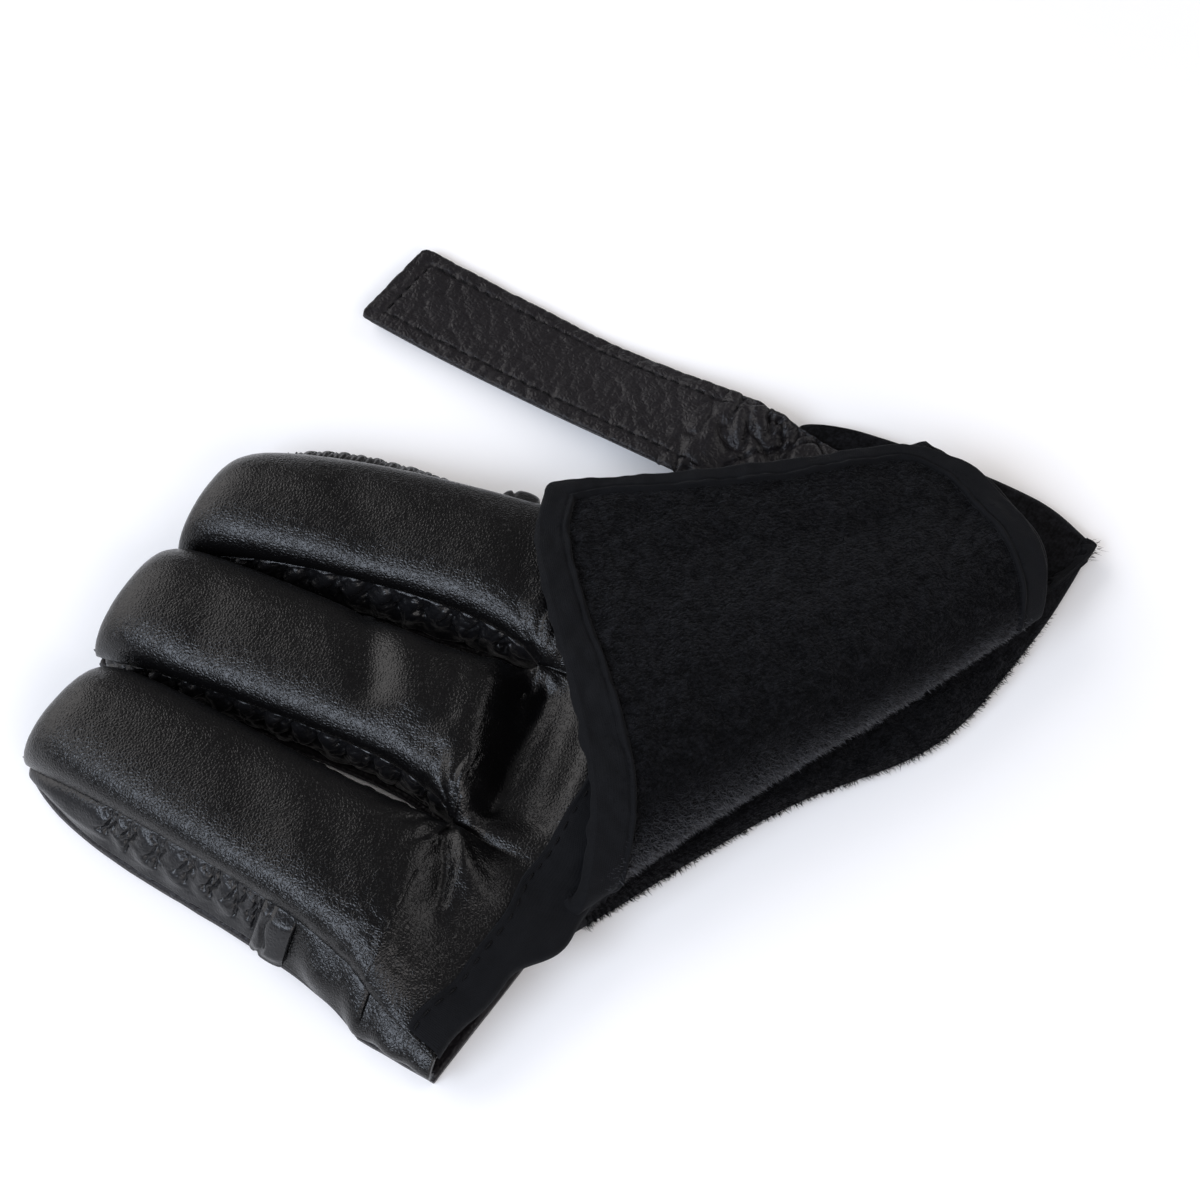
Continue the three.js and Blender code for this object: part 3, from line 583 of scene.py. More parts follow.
def back_edge(share):
    along = np.maximum(share - BACK_CORNER, 0) / (1 - BACK_CORNER)
    inner = cuff_at(mix(UNDER_EDGE, 1, along), np.zeros_like(share)) - np.array([WRIST_SEAM, 0, 0])
    outer = hem(np.zeros(1)) - np.array([0, 1, 0]) * hand_splay("near", -1, 1)
    reached = np.minimum(share / BACK_CORNER, 1)[..., None]
    point = mix(outer, inner, reached)
    point[..., 2] = 0
    return point


def back_at(finger, t, across):
    """The underside of a finger, flat with its edges turned up."""
    s = finger_at(finger, t)
    side = np.sign(across)
    width = s["half"] + np.where(side < 0, splay_at(finger, -1, t), splay_at(finger, 1, t))
    turned_up = np.maximum(np.abs(across) ** 6, smooth(t, 0.9, 1))
    return stack(s["x"] + s["skew"] * across, s["y"] + width * across, CURL * turned_up * smooth(t, 0, 0.12))


def back_panel():
    tt, aa = lattice(np.linspace(1, 0, 71), np.linspace(1, -1, 25))
    grids = [back_at(finger, tt, aa) for finger in ORDER[::-1]]
    depth, share = lattice(evenly(25), np.linspace(1, 0, 73))
    start = base_row(share, lambda finger, across: back_at(finger, np.zeros_like(across), across))
    grids.append(mix(start, back_edge(share), depth[..., None]))
    for grid in grids:
        grid[..., 2] = np.maximum(grid[..., 2] + 0.12 + 0.12 * ripples(grid, 7.0, 3), 0)
    return surface("back_leather", grids, LEATHER_GRAIN, LEATHER, weld=True)


# Cuff
def cuff_at(down, t):
    """The cuff's fleece face: down from the flap's free edge (0) to the far edge under the glove (1)."""
    lines = np.array([[[*station, ply] for station in stations] for ply, *stations in CUFF])
    down, t = np.broadcast_arrays(np.asarray(down, float), np.asarray(t, float))
    rows = (np.stack([through(line[:, key], t) for line in lines]) for key in range(5))
    x, y, z, lift, ply = (through(row, down) for row in rows)
    height = np.maximum(HEIGHT * z, 0) + np.maximum(lift, 0) * LIFT + np.maximum(ply, 0) * FLEECE
    return stack(HAND * x, HAND * y, height)


LOBE = (0.965, 0.93)  # where the rounding of the far lobe starts


def cuff_soft(down, t):
    """The cuff with its own softness: uneven loft, long shallow dents, a drawn-in lip and a round far lobe.

    At the lobe the square of down and t is drawn onto a quarter disc: a sqrt(1 - b2/2), b sqrt(1 - a2/2).
    """
    down, t = np.broadcast_arrays(np.asarray(down, float), np.asarray(t, float))
    a = np.clip((down - LOBE[0]) / (1 - LOBE[0]), 0, 1)
    b = np.clip((t - LOBE[1]) / (1 - LOBE[1]), 0, 1)
    down = down - (1 - LOBE[0]) * a * (1 - np.sqrt(1 - b * b / 2))
    t = t - (1 - LOBE[1]) * b * (1 - np.sqrt(1 - a * a / 2))
    point = cuff_at(down, t)
    drawn_in = 3.2 * bell(down - LIP - 0.03, 0.09) * bell(t - 0.72, 0.14)
    point = point - drawn_in[..., None] * np.array([0.8, -0.6, 0.0])
    free = smooth(point[..., 2], 1.5, 6.0)
    loft = 0.28 * ripples(point, 11.0, 11) + 0.12 * ripples(point, 4.0, 12)
    dents = np.zeros_like(loft)
    for at_down, at_t, width, length, depth in (
        (0.13, 0.55, 0.03, 0.35, 1.0),
        (0.27, 0.3, 0.035, 0.3, 0.5),
        (0.33, 0.75, 0.03, 0.2, 0.4),
    ):
        dents += depth * bell(down - at_down, width) * bell(t - at_t, length)
    point[..., 2] += free * (loft - dents)
    return point


def bareness(t, down):
    """How bare of pile the fleece is: 1 on the smooth cloth at the wrist side of the roll."""
    return smooth(t, 0.72, 0.9) * smooth(down, ROLL + 0.02, ROLL + 0.1)


def cuff_fleece():
    t, down = lattice(evenly(111), np.linspace(1, 0, 221))
    grid = cuff_soft(down, t)
    piece = surface("cuff_fleece", [grid], FLEECE_BLACK, FLEECE)
    mark(piece, "backing", bareness(t, down))
    return piece, grid


def tape(name, station_at, stations, width, wall, finish, ridge=0.4, stand=0.75, out=0.0, drop=0.0, seed=1):
    """A folded tape round an edge: its outer face from one leg over the edge to the other leg.

    station_at(s, inward) gives the wall's face at a place s along the edge and a distance inward. The tape
    stands off it by stand, with a piping ridge and a groove along its inner edge. width may be one number
    for each station.
    """
    width = np.broadcast_to(width, stations)[:, None]
    ss, share = lattice(evenly(stations), np.linspace(1, 0, 31) ** 1.15)
    leg = width * share
    face = station_at(ss, leg)
    run = unit(np.gradient(face, axis=0))
    inward = unit(station_at(ss, leg + 0.4) - station_at(ss, np.maximum(leg, 0)))
    normal = unit(np.cross(run, inward))
    normal = normal * (np.sign(normal[..., 2].mean()) or 1.0)
    inner = width - leg
    waver = 0.07 * ripples(face, 9.0, seed) * smooth(leg, 0.2, 1.0)
    rise = mix(0.05, stand, smooth(inner, 0.0, 0.45)) + ridge * bell(inner - 0.6, 0.38)
    rise = rise - 0.55 * ridge * bell(inner - 1.35, 0.3) + waver
    upper = face + normal * (rise - drop)[..., None] - inward * out
    edge, n0, in0 = face[:, -1:], normal[:, -1:], inward[:, -1:]
    half = (wall + 2 * stand) / 2
    centre = edge - n0 * (wall / 2 + drop) - in0 * out
    angle = np.linspace(pi / 2, -pi / 2, 13)[1:-1][None, :, None]
    bend = centre - in0 * (stand + 0.25) * np.cos(angle) + n0 * half * np.sin(angle)
    lower = (face - normal * (wall + stand + drop) - inward * out)[:, ::-1]
    grid = np.concatenate([upper, bend, lower], axis=1)
    if np.cross(np.gradient(grid, axis=0), np.gradient(grid, axis=1))[:, 9, 2].mean() < 0:
        grid = grid[::-1]
    thickness = min(TAPE, stand) * 0.8
    grid[..., 2] = np.maximum(grid[..., 2], thickness + 0.02)
    return surface(name, [grid], finish, thickness)


FLAP_SHARES = (0.42, 0.79)  # where the flap's border turns its two corners
FLAP_END = ROLL + 0.16  # the border ends under the roll
FLAP_END_WRIST = ROLL + 0.05


def metric(down, t, along_down):
    """Millimetres of cuff for one unit of down or of t, measured inwards from the border."""
    step = 0.05
    here = cuff_soft(down, t)
    if along_down:
        return distance(cuff_soft(down + step, t), here) / step
    inside = np.where(t > 0.5, t - step, t + step)
    return distance(cuff_soft(down, inside), here) / step


def flap_border(s, inward):
    """Stations round the flap: up its finger side, along its free edge and down its wrist side.

    The border at a distance inward is a rectangle in the cuff's two directions, and a moving average along
    it rounds its corners, more at the wrist.
    """
    first, second = FLAP_SHARES

    def corner_place(place):
        left = np.clip(place / first, 0, 1)
        top = np.clip((place - first) / (second - first), 0, 1)
        right = np.clip((place - second) / (1 - second), 0, 1)
        down_edge = np.where(place < (first + second) / 2, FLAP_END * (1 - left), FLAP_END_WRIST * right)
        from_top = inward / metric(np.zeros_like(top), top, True)
        from_left = inward / metric(down_edge, np.zeros_like(top), False)
        from_right = inward / metric(down_edge, np.ones_like(top), False)
        return np.maximum(down_edge, from_top), mix(from_left, 1 - from_right, top)

    reach = mix(0.006, 0.035, smooth(s, 0.5, 0.72))
    places = [corner_place(np.clip(s + k * reach, 0, 1)) for k in np.linspace(-1, 1, 7)]
    return cuff_soft(*np.mean(places, axis=0))


def flap_tape_width(s):
    """Wide down the finger side, narrow along the free edge, middling on the wrist side."""
    wide = mix(8.6, 5.6, smooth(s, 0.1, 0.36))
    return mix(mix(wide, 3.6, smooth(s, 0.4, 0.46)), 6.2, smooth(s, 0.74, 0.84))


SIDE_STEP = 0.12  # of t, over which a distance inward from the cuff's side is measured


def cuff_side(edge, first, last, face=cuff_soft):
    """Stations along the finger side (edge 0) or the wrist side (edge 1) of the cuff between two rows."""

    def station(s, inward):
        down = mix(first, last, s)
        reach = distance(face(down, np.abs(edge - SIDE_STEP)), face(down, np.full_like(down, edge)))
        return face(down, np.abs(edge - SIDE_STEP * inward / np.maximum(reach, 1e-6)))

    return station


def mouth_flare(s):
    """How far the hem's tape runs out past the palm where it goes over into the cuff."""
    return 5.5 * smooth(s, 0.15, 0.28) * (1 - smooth(s, 0.34, 0.44))


def mouth_edge(s, inward):
    """Stations along the palm's hem, from the near side to the far side, slightly wavy."""
    share = mix(0.01, 0.97, s)
    reach = distance(*(palm_folded(share, np.full_like(s, depth)) for depth in (0.8, 1.0)))
    wave = 0.45 * np.sin(21 * s + 1) + 0.25 * np.sin(47 * s)
    flare = mouth_flare(s)
    point = palm_folded(share, 1 - 0.2 * (inward + wave - flare) / np.maximum(reach, 1e-6))
    point[..., 2] += 0.2 * np.sin(33 * s) * smooth(inward, 0, 3) - 0.2 * np.maximum(flare - inward, 0)
    return point


def palm_folded(share, depth):
    point = palm_plain(share, depth)
    point[..., 2] += relief(point) * smooth(point[..., 2], 5.0, 12.0)
    return point


# Strap
def along_of(t):
    return through(STRAP["along"], t)


def place_of(share):
    """The table's place at a share of the strap's length."""
    places = evenly(2001)
    return np.interp(share, along_of(places), places)


STRAP_ALONG = np.array([cos(STRAP_TURN), sin(STRAP_TURN), 0])
STRAP_ACROSS = np.array([-sin(STRAP_TURN), cos(STRAP_TURN), 0])
STRAP_FLOOR = STRAP_THICKNESS + LAYER_GAP + HOOK_THICKNESS
STRAP_SEAT = LIFT + FLEECE + LAYER_GAP + STRAP_THICKNESS


def strap_at(place, across):
    """The strap's top face: across from 0 at the near edge to 1 at the far edge."""
    near = np.maximum(through(STRAP["near"], place), 0)
    far = np.maximum(through(STRAP["far"], place), 0)
    floor = mix(STRAP_FLOOR, STRAP_SEAT, smooth(place, 0.6, 0.85))
    point = (
        STRAP_END
        + STRAP_ALONG * (STRAP_LENGTH * along_of(place))[..., None]
        + STRAP_ACROSS * ((across - 0.5) * STRAP_WIDTH)[..., None]
    )
    point[..., 2] = floor + HEIGHT * mix(near, far, across)
    return point


def slab(name, low, high, inset, depth, thickness, finish, form, count=(261, 49), corner=1.0):
    """A flat strip under the strap's top face as one closed skin: top, rounded edges and underside.

    form(along in mm, across in mm) gives the height of its creases, corner rounds the free end's corners.
    """
    place = place_of(np.linspace(low / STRAP_LENGTH, high / STRAP_LENGTH, count[0]))
    width = STRAP_WIDTH - 2 * inset
    flat = evenly(count[1])
    round_it = np.linspace(0, pi, 8)[1:-1]
    edge = thickness / 2
    out = np.concatenate([flat * 0, np.sin(round_it), flat * 0, np.sin(round_it)])
    up = np.concatenate([flat * 0, np.cos(round_it) - 1, flat * 0 - 2, -np.cos(round_it) - 1]) * edge
    lateral = np.concatenate([flat, np.ones(6), flat[::-1], np.zeros(6)])
    side = np.concatenate([flat * 0, np.ones(6), flat * 0, -np.ones(6)])
    pp, ll = lattice(place, lateral)
    from_end = STRAP_LENGTH * along_of(pp) - low
    rounding = corner - np.sqrt(np.maximum(corner**2 - np.maximum(corner - from_end, 0) ** 2, 0))
    inner = width / 2 - rounding
    lateral_mm = (ll - 0.5) * 2 * inner + (side * out)[None] * edge
    grid = strap_at(pp, lateral_mm / STRAP_WIDTH + 0.5)
    top = (up > -edge)[None]
    grid[..., 2] += up[None] - depth + form(from_end + low, lateral_mm) * np.where(top, 1, 0.4)
    piece = surface(name, [grid], finish, around=True)

    def close(work):
        bmesh.ops.holes_fill(work, edges=[e for e in work.edges if e.is_boundary])
        bmesh.ops.recalc_face_normals(work, faces=work.faces)

    rework(piece, close)
    return piece


STITCH_SIDE = 8.2  # from the strap's middle to its side stitches
STITCH_END = 3.8  # from its free end to the stitches across it
STITCH_LAST = 82.0  # where the side stitches end


def strap_form(along, across):
    """Creases of the strap's leather, fine and slanting on the stitched part and deep where it bends."""
    points = stack(along, across * 0.6, 0)
    slant = stack(0.8 * along + 0.45 * across, 0.6 * across - 0.25 * along, 0)
    worn = creases(points, 31, 3.8, 0.12) + creases(slant, 32, 7.0, 0.3) + creases(points, 36, 9.0, 0.2)
    bending = smooth(along, 70, 84)
    wide = creases(stack(along + 0.5 * across, across * 0.45, 0), 33, 9.0, 2.6)
    cross = creases(stack(along - 0.9 * across, across * 0.3 + along * 0.2, 0), 34, 12.0, 1.9)
    swell = 0.9 * ripples(points, 10.0, 35)
    sides = bell(np.abs(across) - STITCH_SIDE, 0.4) * (1 - smooth(along, STITCH_LAST, STITCH_LAST + 2))
    groove = -0.45 * sides * smooth(along, STITCH_END - 0.6, STITCH_END)
    groove = groove - 0.45 * bell(along - STITCH_END, 0.4) * (np.abs(across) < STITCH_SIDE + 0.2)
    rim = -0.2 * smooth(np.abs(across), 9.2, 11.0)
    return worn * (1 - 0.5 * bending) + bending * (wide + cross + swell) * 0.8 + groove + rim


# Threads
def stitches(name, centres, runs, ups, finish, length=2.1, radius=0.23):
    """Short threads: each a bent capsule of five rings that dives into the leather at both ends."""
    part = np.array([-0.5, -0.42, 0.0, 0.42, 0.5])
    size = np.array([0.25, 0.8, 1.0, 0.8, 0.25])
    dive = np.array([-0.32, -0.08, 0.1, -0.08, -0.32])
    sides = 6
    angle = np.arange(sides) * 2 * pi / sides
    across = unit(np.cross(ups, runs))
    wide, high = (radius * (size[:, None] * turn(angle))[..., None] for turn in (np.cos, np.sin))
    ring = across[:, None, None] * wide + ups[:, None, None] * high
    spine = centres[:, None] + runs[:, None] * (part * length)[:, None] + ups[:, None] * dive[:, None]
    points = (spine[:, :, None] + ring).reshape(-1, 3)
    one = grid_faces(len(part), sides, around=True)[:, ::-1]
    block = len(part) * sides
    faces = (one[None] + (np.arange(len(centres)) * block)[:, None, None]).reshape(-1, 4)
    return make_mesh(name, points, faces, finish)


def stitch_line(point_at, length, pitch):
    """Centres, directions and normals for stitches along point_at(s, side) with side -1, 0 or 1 mm across."""
    count = max(2, int(length / pitch))
    s = (np.arange(count) + 0.5) / count
    centre = point_at(s, 0.0)
    run = unit(point_at(s + 0.2 / count, 0.0) - point_at(s - 0.2 / count, 0.0))
    across = unit(point_at(s, 1.0) - point_at(s, -1.0))
    up = unit(np.cross(run, across))
    up = up * np.sign(up[:, 2:3] + 1e-9)
    return centre, run, up


def joined(*lines):
    return [np.concatenate(parts) for parts in zip(*lines)]


# Pile
def fibres(name, roots, normals, lean, lengths, width, painted_rim_highlight, finish):
    """Short tapering hairs: two bent links from each root, along its normal and its lean."""
    count = len(roots)
    spread = unit(np.cross(normals, lean + random.normal(0, 0.5, (count, 3))))
    upright = normals * random.uniform(0.25, 1.0, (count, 1))
    heading = unit(upright + lean + random.normal(0, 0.45, (count, 3)))
    fall = unit(heading + lean * 0.8 - normals * 0.35)
    middle = roots + heading * lengths[:, None] * 0.5
    tip = middle + fall * lengths[:, None] * 0.5
    half = spread * width / 2
    points = np.stack([roots - half, roots + half, middle - half * 0.8, middle + half * 0.8, tip], 1)
    points[..., 2] = np.maximum(points[..., 2], 0.02)
    one = np.array([[0, 1, 3], [0, 3, 2], [2, 3, 4]])
    faces = (one[None] + (np.arange(count) * 5)[:, None, None]).reshape(-1, 3)
    piece = make_mesh(name, points.reshape(-1, 3), faces, finish)
    # painted highlight: each hair's paleness towards the roll's rim, read by its finish
    mark(piece, "painted_rim_highlight", np.repeat(painted_rim_highlight, 5))
    return piece


# Finishes
def new_finish(name):
    finish = bpy.data.materials.new(name)
    finish.use_nodes = True
    return finish, finish.node_tree


def set_inputs(tree, made, inputs):
    """Links or sets inputs, named or numbered."""
    for key, value in inputs.items():
        if isinstance(value, bpy.types.NodeSocket):
            tree.links.new(value, made.inputs[key])
        else:
            made.inputs[key].default_value = value


def node(tree, kind, inputs, output, **settings):
    """A new shader node's output."""
    made = tree.nodes.new("ShaderNode" + kind)
    for key, value in settings.items():
        setattr(made, key, value)
    set_inputs(tree, made, inputs)
    return made.outputs[output]


def shade(tree, colour, rough, shine=0.5, normal=None, sheen=()):
    """What a finish looks like; sheen is its weight, roughness and tint."""
    inputs = {"Base Color": colour, "Roughness": rough, "Specular IOR Level": shine}
    if normal is not None:
        inputs["Normal"] = normal
    inputs.update(zip(("Sheen Weight", "Sheen Roughness", "Sheen Tint"), sheen))
    set_inputs(tree, tree.nodes["Principled BSDF"], inputs)


def place_in(tree, source="Object", scale=(1, 1, 1)):
    """Texture coordinates, stretched: object coordinates in millimetres or UVs in centimetres."""
    per_unit = 1000.0 if source == "Object" else 10.0
    scale = [per_unit * s for s in scale]
    return node(tree, "Mapping", {"Vector": node(tree, "TexCoord", {}, source), "Scale": scale}, "Vector")


def noise(tree, vector, size, detail=3.0, roughness=0.55, output="Fac"):
    inputs = {"Vector": vector, "Scale": 1.0 / size, "Detail": detail, "Roughness": roughness}
    return node(tree, "TexNoise", inputs, output)


def maths(tree, operation, a, b, kind="Math"):
    return node(tree, kind, {0: a, 1: b}, 0, operation=operation)


def bent(tree, vector, size, amount):
    """A vector pushed about by noise, so that cells and lines lose their regularity."""
    push = noise(tree, vector, size, 2.0, 0.5, "Color")
    push = maths(tree, "SUBTRACT", push, (0.5, 0.5, 0.5), "VectorMath")
    push = maths(tree, "MULTIPLY", push, (amount,) * 3, "VectorMath")
    return maths(tree, "ADD", vector, push, "VectorMath")


def rescale(tree, value, low, high, start=0.0, end=1.0, **settings):
    """A value that runs from start to end, brought to run from low to high."""
    inputs = {"Value": value, "From Min": start, "From Max": end, "To Min": low, "To Max": high}
    return node(tree, "MapRange", inputs, "Result", **settings)


def cells(tree, vector, size):
    """Rounded leather cells: 1 on a cell, falling softly to 0 in the lines between."""
    inputs = {"Vector": vector, "Scale": 1.0 / size}
    distance = node(tree, "TexVoronoi", inputs, "Distance", feature="DISTANCE_TO_EDGE")
    return rescale(tree, distance, 0.0, 1.0, 0.0, 0.35, interpolation_type="SMOOTHSTEP")


def bump(tree, height, distance, normal=None):
    inputs = {"Height": height, "Distance": distance * MM, "Strength": 1.0}
    if normal is not None:
        inputs["Normal"] = normal
    return node(tree, "Bump", inputs, "Normal")


def blend_colour(tree, factor, first, second):
    return node(tree, "Mix", {0: factor, 6: (*first, 1), 7: (*second, 1)}, 2, data_type="RGBA")


def leather_finish(name, dark, light, cell, cell_depth, rough, wrinkle, wrinkle_depth, shine=0.24):
    """Black leather: rounded grain of two sizes in bent lines, broader soft wrinkles, and a patchy satin."""
    finish, tree = new_finish(name)
    place = place_in(tree)
    grain = cells(tree, bent(tree, place, cell * 3, cell * 1.3), cell)
    fine = noise(tree, place, cell * 0.7, 2.0, 0.6)
    broad = noise(tree, bent(tree, place, wrinkle * 1.5, wrinkle * 0.6), wrinkle, 3.0, 0.5)
    worn = noise(tree, place, 14.0)
    normal = bump(tree, grain, cell_depth, bump(tree, broad, wrinkle_depth))
    normal = bump(tree, fine, cell_depth * 0.4, normal)
    satin = rescale(tree, worn, rough - 0.05, rough + 0.07)
    shade(tree, blend_colour(tree, worn, dark, light), satin, shine, normal)
    return finish


def fleece_finish(name, dark, light):
    """Brushed pile: short streaks along the flap and speckle over clumps, and soft sheen at the edges.

    Where the backing attribute is 1 the cloth is smooth.
    """
    finish, tree = new_finish(name)
    streaks = noise(tree, bent(tree, place_in(tree, "UV", (0.4, 1.0, 1.0)), 2.0, 0.7), 0.6, 3.0, 0.7)
    speckle = noise(tree, place_in(tree), 0.6, 2.0, 0.6)
    clumps = noise(tree, bent(tree, place_in(tree), 3.0, 1.2), 2.2, 3.0, 0.6)
    pile = maths(tree, "ADD", maths(tree, "ADD", streaks, speckle), clumps)
    furry = maths(tree, "SUBTRACT", 1.0, node(tree, "Attribute", {}, "Fac", attribute_name="backing"))
    normal = bump(tree, maths(tree, "MULTIPLY", pile, furry), 0.9)
    colour = blend_colour(tree, rescale(tree, pile, 0.0, 1.0, 1.3, 2.0), dark, light)
    shade(tree, colour, 0.9, 0.06, normal, (0.07, 0.5, (0.55, 0.57, 0.62, 1)))
    return finish


def cloth_finish(name, dark, light):
    """Close woven tape: two crossed waves of thread over soft shading."""
    finish, tree = new_finish(name)
    inputs = {"Vector": place_in(tree, "UV"), "Scale": 0.314 / 0.35, "Distortion": 0.6, "Detail": 1.0}
    warp, weft = (node(tree, "TexWave", inputs, "Fac", bands_direction=way) for way in "XY")
    soft = noise(tree, place_in(tree), 3.0)
    normal = bump(tree, maths(tree, "MAXIMUM", warp, weft), 0.05, bump(tree, soft, 0.35))
    shade(tree, blend_colour(tree, soft, dark, light), 0.8, 0.09, normal, (0.03, 0.4, (0.6, 0.62, 0.66, 1)))
    return finish


def hook_finish(name):
    """Moulded hook tape: rows of small round hooks."""
    finish, tree = new_finish(name)
    inputs = {"Vector": place_in(tree, "UV"), "Scale": 0.9, "Randomness": 0.25}
    dots = node(tree, "TexVoronoi", inputs, "Distance")
    colour = blend_colour(tree, dots, (0.03, 0.03, 0.033), (0.008, 0.008, 0.009))
    shade(tree, colour, 0.55, normal=bump(tree, dots, -0.7))
    return finish


def thread_finish(name, colour):
    """Twisted thread: a slanting wave along it."""
    finish, tree = new_finish(name)
    inputs = {"Vector": place_in(tree), "Scale": 1.4, "Distortion": 1.0}
    twist = node(tree, "TexWave", inputs, "Fac", bands_direction="DIAGONAL")
    colour = blend_colour(tree, twist, colour, [c * 1.6 for c in colour])
    shade(tree, colour, 0.6, 0.15, bump(tree, twist, 0.1))
    return finish


def hair_finish(name, dark, light):
    """Loose pile: hairs towards the rim of the roll are painted paler by a number on each point, a painted
    highlight where light catches the fuzz.
    """
    finish, tree = new_finish(name)
    painted_rim_highlight = node(tree, "Attribute", {}, "Fac", attribute_name="painted_rim_highlight")
    shade(tree, blend_colour(tree, painted_rim_highlight, dark, light), 0.95, 0.05)
    return finish


def table_finish(name):
    finish, tree = new_finish(name)
    shadow = noise(tree, place_in(tree), 60.0, 2.0)
    shade(tree, blend_colour(tree, shadow, (0.93, 0.93, 0.935), (0.95, 0.95, 0.95)), 0.6, 0.2)
    return finish


LEATHER_SMOOTH = leather_finish(
    "smooth_leather", (0.0014, 0.0014, 0.0016), (0.0024, 0.0023, 0.0026), 0.62, 0.045, 0.28, 9.0, 0.25, 0.31
)
LEATHER_SOFT = leather_finish(
    "gathered_leather", (0.0040, 0.0042, 0.0050), (0.0080, 0.0080, 0.0092), 0.8, 0.03, 0.32, 5.0, 0.2, 0.36
)
LEATHER_GRAIN = leather_finish(
    "grain_leather", (0.0060, 0.0052, 0.0062), (0.0105, 0.0092, 0.0108), 1.1, 0.075, 0.42, 5.0, 0.5
)
FLEECE_BLACK = fleece_finish("black_fleece", (0.0002, 0.0002, 0.0003), (0.0100, 0.0103, 0.0124))
# The pile's paler colour is a painted highlight on the hairs at the rim of the roll.
PILE_BLACK = hair_finish("fleece_pile", (0.0029, 0.0030, 0.0036), (0.095, 0.097, 0.105))
TAPE_BLACK = cloth_finish("edge_tape", (0.0030, 0.0033, 0.0041), (0.0060, 0.0064, 0.0078))
HOOK_BLACK = hook_finish("hook_tape")
THREAD_BLACK = thread_finish("black_thread", (0.0012, 0.0012, 0.0016))

# Camera
TARGET = Vector((4.0, 34.5, 10.0)) * MM
DISTANCE = 0.410
AZIMUTH, ELEVATION = radians(24), radians(57)
back = Vector((
    sin(AZIMUTH) * cos(ELEVATION), -cos(AZIMUTH) * cos(ELEVATION), sin(ELEVATION)
))
camera = bpy.data.objects.new("camera", bpy.data.cameras.new("camera"))
scene.collection.objects.link(camera)
camera.data.lens = 65
camera.data.sensor_width = 36
camera.data.clip_start = 0.01
camera.location = TARGET + back * DISTANCE
camera.rotation_mode = "QUATERNION"
camera.rotation_quaternion = (-back).to_track_quat("-Z", "Y")
scene.camera = camera

# Pieces
NEAR_BUNDLES = (4.7, 8.8, 14.3, 19.5, 25.9, 31.9, 36.0)  # places of the creases along the outer strips
FAR_BUNDLES = np.linspace(3.0, 50.0, 14)

front = front_leather()
back_leather = back_panel()
strips = [
    gathered_strip("side_gathers_near", "near", -1, NEAR_BUNDLES, 4, 0.8),
    gathered_strip("side_gathers_far", "far", 1, FAR_BUNDLES, 8, 0.45),
]
gaps = [forchette("gap_strip_near", "near", "middle", 15), forchette("gap_strip_far", "middle", "far", 19)]
gussets = [gusset("hand_side_near", "near", -1, 0), gusset("hand_side_far", "far", 1, 1)]
folds = [end_fold("strip_end_near", "near", -1), end_fold("strip_end_far", "far", 1)]
cuff_piece, cuff_grid = cuff_fleece()
hem_width = HEM_TAPE_WIDTH + mouth_flare(evenly(221))
mouth = tape("mouth_tape_cloth", mouth_edge, 221, hem_width, LEATHER, TAPE_BLACK, ridge=0.12, seed=2)
flap_width = flap_tape_width(evenly(361))
flap_tape = tape("flap_tape_cloth", flap_border, 361, flap_width, FLEECE, TAPE_BLACK, seed=3)
flap_under = tape(
    "flap_under_tape_cloth", cuff_side(1, 0.07, ROLL, cuff_at), 101, 3.0, 1.2, TAPE_BLACK,
    ridge=0, out=1.9, drop=2.4, seed=5,
)
wrist_side, tip_side = cuff_side(1, UNDER_EDGE, 1), cuff_side(1, ROLL + 0.12, LIP)
wrist = tape("wrist_tape_cloth", wrist_side, 121, TAPE_WIDTH, FLEECE, TAPE_BLACK, ridge=0, seed=6)
tip_tape = tape("tip_tape_cloth", tip_side, 61, TAPE_WIDTH, FLEECE, TAPE_BLACK, ridge=0.1, stand=0.5, seed=7)
strap = slab("strap_leather", 0, STRAP_LENGTH, 0, 0, STRAP_THICKNESS, LEATHER_GRAIN, strap_form)
hook = slab(
    "hook_tape", HOOK_INSET, HOOK_LENGTH, HOOK_INSET, STRAP_THICKNESS + LAYER_GAP, HOOK_THICKNESS,
    HOOK_BLACK, lambda along, across: 0, (121, 25),
)


# Stitching
def strap_point(along, across, form_at):
    """Where a stitch lies on the strap, raised by the creases at form_at."""
    top = strap_at(place_of(along / STRAP_LENGTH), across / STRAP_WIDTH + 0.5)
    top[..., 2] += 0.1 + strap_form(*form_at)
    return top


def strap_line(offset):
    """A stitch line along the strap at a distance from its middle."""

    def point(s, side):
        along, middle = mix(5, STITCH_LAST, s), np.full_like(s, offset)
        return strap_point(along, middle + side, (along, middle))

    return point


def strap_end_line(s, side):
    """The stitch line across the strap's free end."""
    along, across = np.full_like(s, STITCH_END), mix(-7.6, 7.6, s)
    return strap_point(along + side, across, (along, across))


side_lines = [stitch_line(strap_line(offset), 77, 2.9) for offset in (-STITCH_SIDE, STITCH_SIDE)]
seams = stitches("strap_stitches", *joined(*side_lines, stitch_line(strap_end_line, 15, 2.6)), THREAD_BLACK)


def hem_line(s, side):
    """The hem's stitch line, near the tape's inner edge."""
    point = mouth_edge(s, HEM_TAPE_WIDTH + mouth_flare(s) - 1.5 + side)
    point[..., 2] += 0.72
    return point


hem_stitches = stitches("hem_stitches", *stitch_line(hem_line, 120, 3.2), THREAD_BLACK)

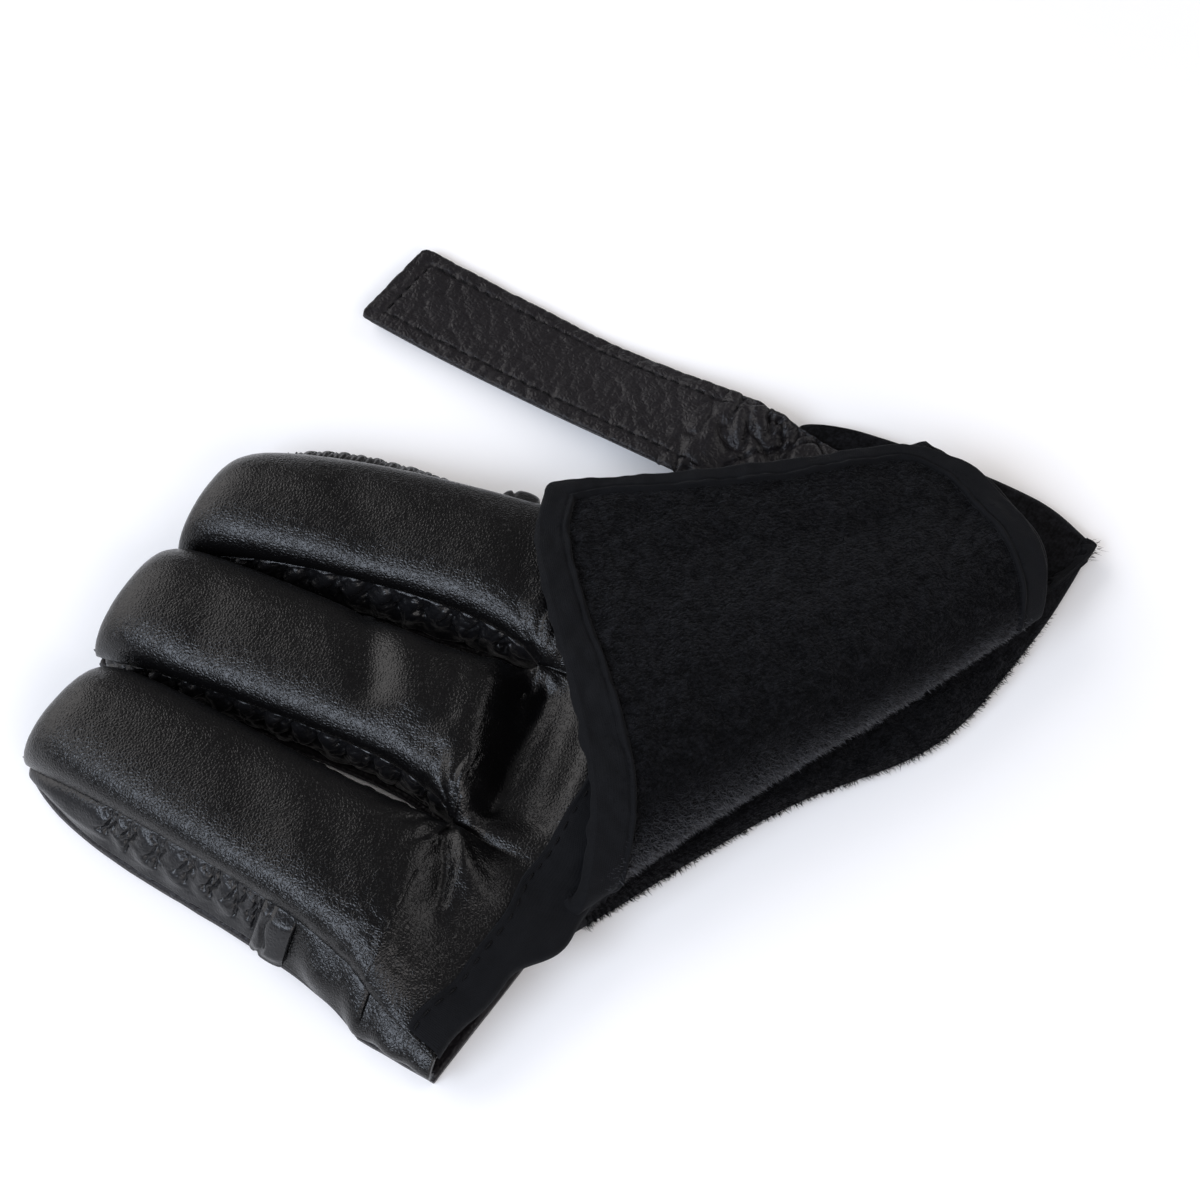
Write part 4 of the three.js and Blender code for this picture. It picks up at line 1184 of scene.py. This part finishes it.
# Fleece pile, thickest along the roll of the fold and the lower lip
rows, columns = cuff_grid.shape[:2]
normals = grid_normals(cuff_grid)
over, up = (unit(np.gradient(cuff_grid, axis=axis)) for axis in (0, 1))
lie = over * 0.35 - up * 0.25
PILE_COUNT = 46000
TRIES = 2 * PILE_COUNT
across_at = random.uniform(0.035, 0.965, TRIES)
down_at = np.where(
    random.uniform(size=TRIES) < 0.45,
    random.normal(ROLL + 0.02, 0.06, TRIES),
    random.uniform(0.03, UNDER_EDGE, TRIES),
).clip(0.03, UNDER_EDGE)
kept = np.flatnonzero(random.uniform(size=TRIES) > bareness(across_at, down_at))[:PILE_COUNT]
i = np.rint(across_at[kept] * (rows - 1)).astype(int)
j = np.rint((1 - down_at[kept]) * (columns - 1)).astype(int)
jitter = random.uniform(-0.4, 0.4, (len(kept), 1)) * over[i, j]
jitter = jitter + random.uniform(-0.4, 0.4, (len(kept), 1)) * up[i, j]
TUFT_COUNT = 45
tuft = cuff_soft(np.full(TUFT_COUNT, LIP), 1 - 0.03 * random.uniform(size=TUFT_COUNT))
tuft = tuft + stack(random.uniform(-1.5, 1.0, TUFT_COUNT), random.uniform(-1.2, 1.2, TUFT_COUNT), 0)
outward = np.tile(unit(np.array([[0.85, 0.5, -0.05]])), (TUFT_COUNT, 1))
pile = fibres(
    "fleece_pile",
    np.concatenate([cuff_grid[i, j] + jitter, tuft]),
    np.concatenate([normals[i, j], outward]),
    np.concatenate([lie[i, j], outward]),
    np.concatenate([random.uniform(0.7, 1.7, len(kept)), random.uniform(0.8, 2.8, TUFT_COUNT)]),
    0.13,
    np.concatenate([
        # painted highlight: hairs near the rim of the roll are made paler, where light catches the fuzz
        bell(down_at[kept] - ROLL - 0.015, 0.045) * random.uniform(0.2, 1.0, len(kept)),
        np.zeros(TUFT_COUNT),
    ]),
    PILE_BLACK,
)

# Each piece, its slot and what it stands for: each is attached to the root body and the imported parts it
# stands for are hidden; the slot is not used
for piece, slot, *stands_for in (
    (front, "smooth_leather", "palm_panel"),
    (back_leather, "grain_leather", "back_panel"),
    (strips[0], "soft_leather", "gathered_side_near"),
    (strips[1], "soft_leather", "gathered_side_far"),
    (gaps[0], "soft_leather", "forchette_near"),
    (gaps[1], "soft_leather", "forchette_far"),
    (gussets[0], "smooth_leather", "gusset_near"),
    (gussets[1], "smooth_leather", "gusset_far"),
    (folds[0], "soft_leather"),
    (folds[1], "soft_leather"),
    (cuff_piece, "fleece", "cuff"),
    (pile, "fleece"),
    (mouth, "tape", "mouth_tape"),
    (flap_tape, "tape", "flap_tape_left", "flap_tape_top", "flap_tape_right"),
    (flap_under, "tape"),
    (tip_tape, "tape"),
    (wrist, "tape", "wrist_tape"),
    (strap, "grain_leather", "strap"),
    (hook, "hook", "hook_patch"),
    (seams, None),
    (hem_stitches, None),
):
    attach(piece, "root")
    if stands_for:
        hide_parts(*stands_for)

# Floor and light
extent = np.linspace(-1, 1, 9) * 2500
fx, fy = lattice(extent, extent)
floor = surface("floor", [stack(fx, fy, -0.02)], table_finish("table_white"))

world = bpy.data.worlds.new("studio")
scene.world = world
world.use_nodes = True
sky = world.node_tree
set_inputs(sky, sky.nodes["Background"], {"Color": (1.0, 0.97, 0.97, 1), "Strength": 0.19})

for name, position, aim, size, power, colour in (
    ("window_left", (-1.45, 0.2, 0.85), (0, 0.03, 0), (2.0, 1.4), 21, (1.0, 0.97, 0.96)),
    ("window_right", (1.1, 1.2, 0.8), (0, 0.03, 0), (1.6, 1.0), 9, (1.0, 0.97, 0.97)),
    ("window_near", (-0.44, -1.08, 1.05), (0, 0.02, 0), (1.1, 0.6), 20, (0.78, 0.86, 1.0)),
    ("fill", (1.0, -0.9, 0.9), (0, 0.02, 0), (1.4, 0.9), 13, (1.0, 0.95, 0.94)),
):
    data = bpy.data.lights.new(name, "AREA")
    data.shape = "RECTANGLE"
    data.size, data.size_y = size
    data.energy = power
    data.color = colour
    lamp = bpy.data.objects.new(name, data)
    scene.collection.objects.link(lamp)
    lamp.location = Vector(position)
    lamp.rotation_mode = "QUATERNION"
    lamp.rotation_quaternion = (Vector(aim) - Vector(position)).to_track_quat("-Z", "Y")

scene.view_settings.view_transform = "Standard"
scene.view_settings.look = "None"
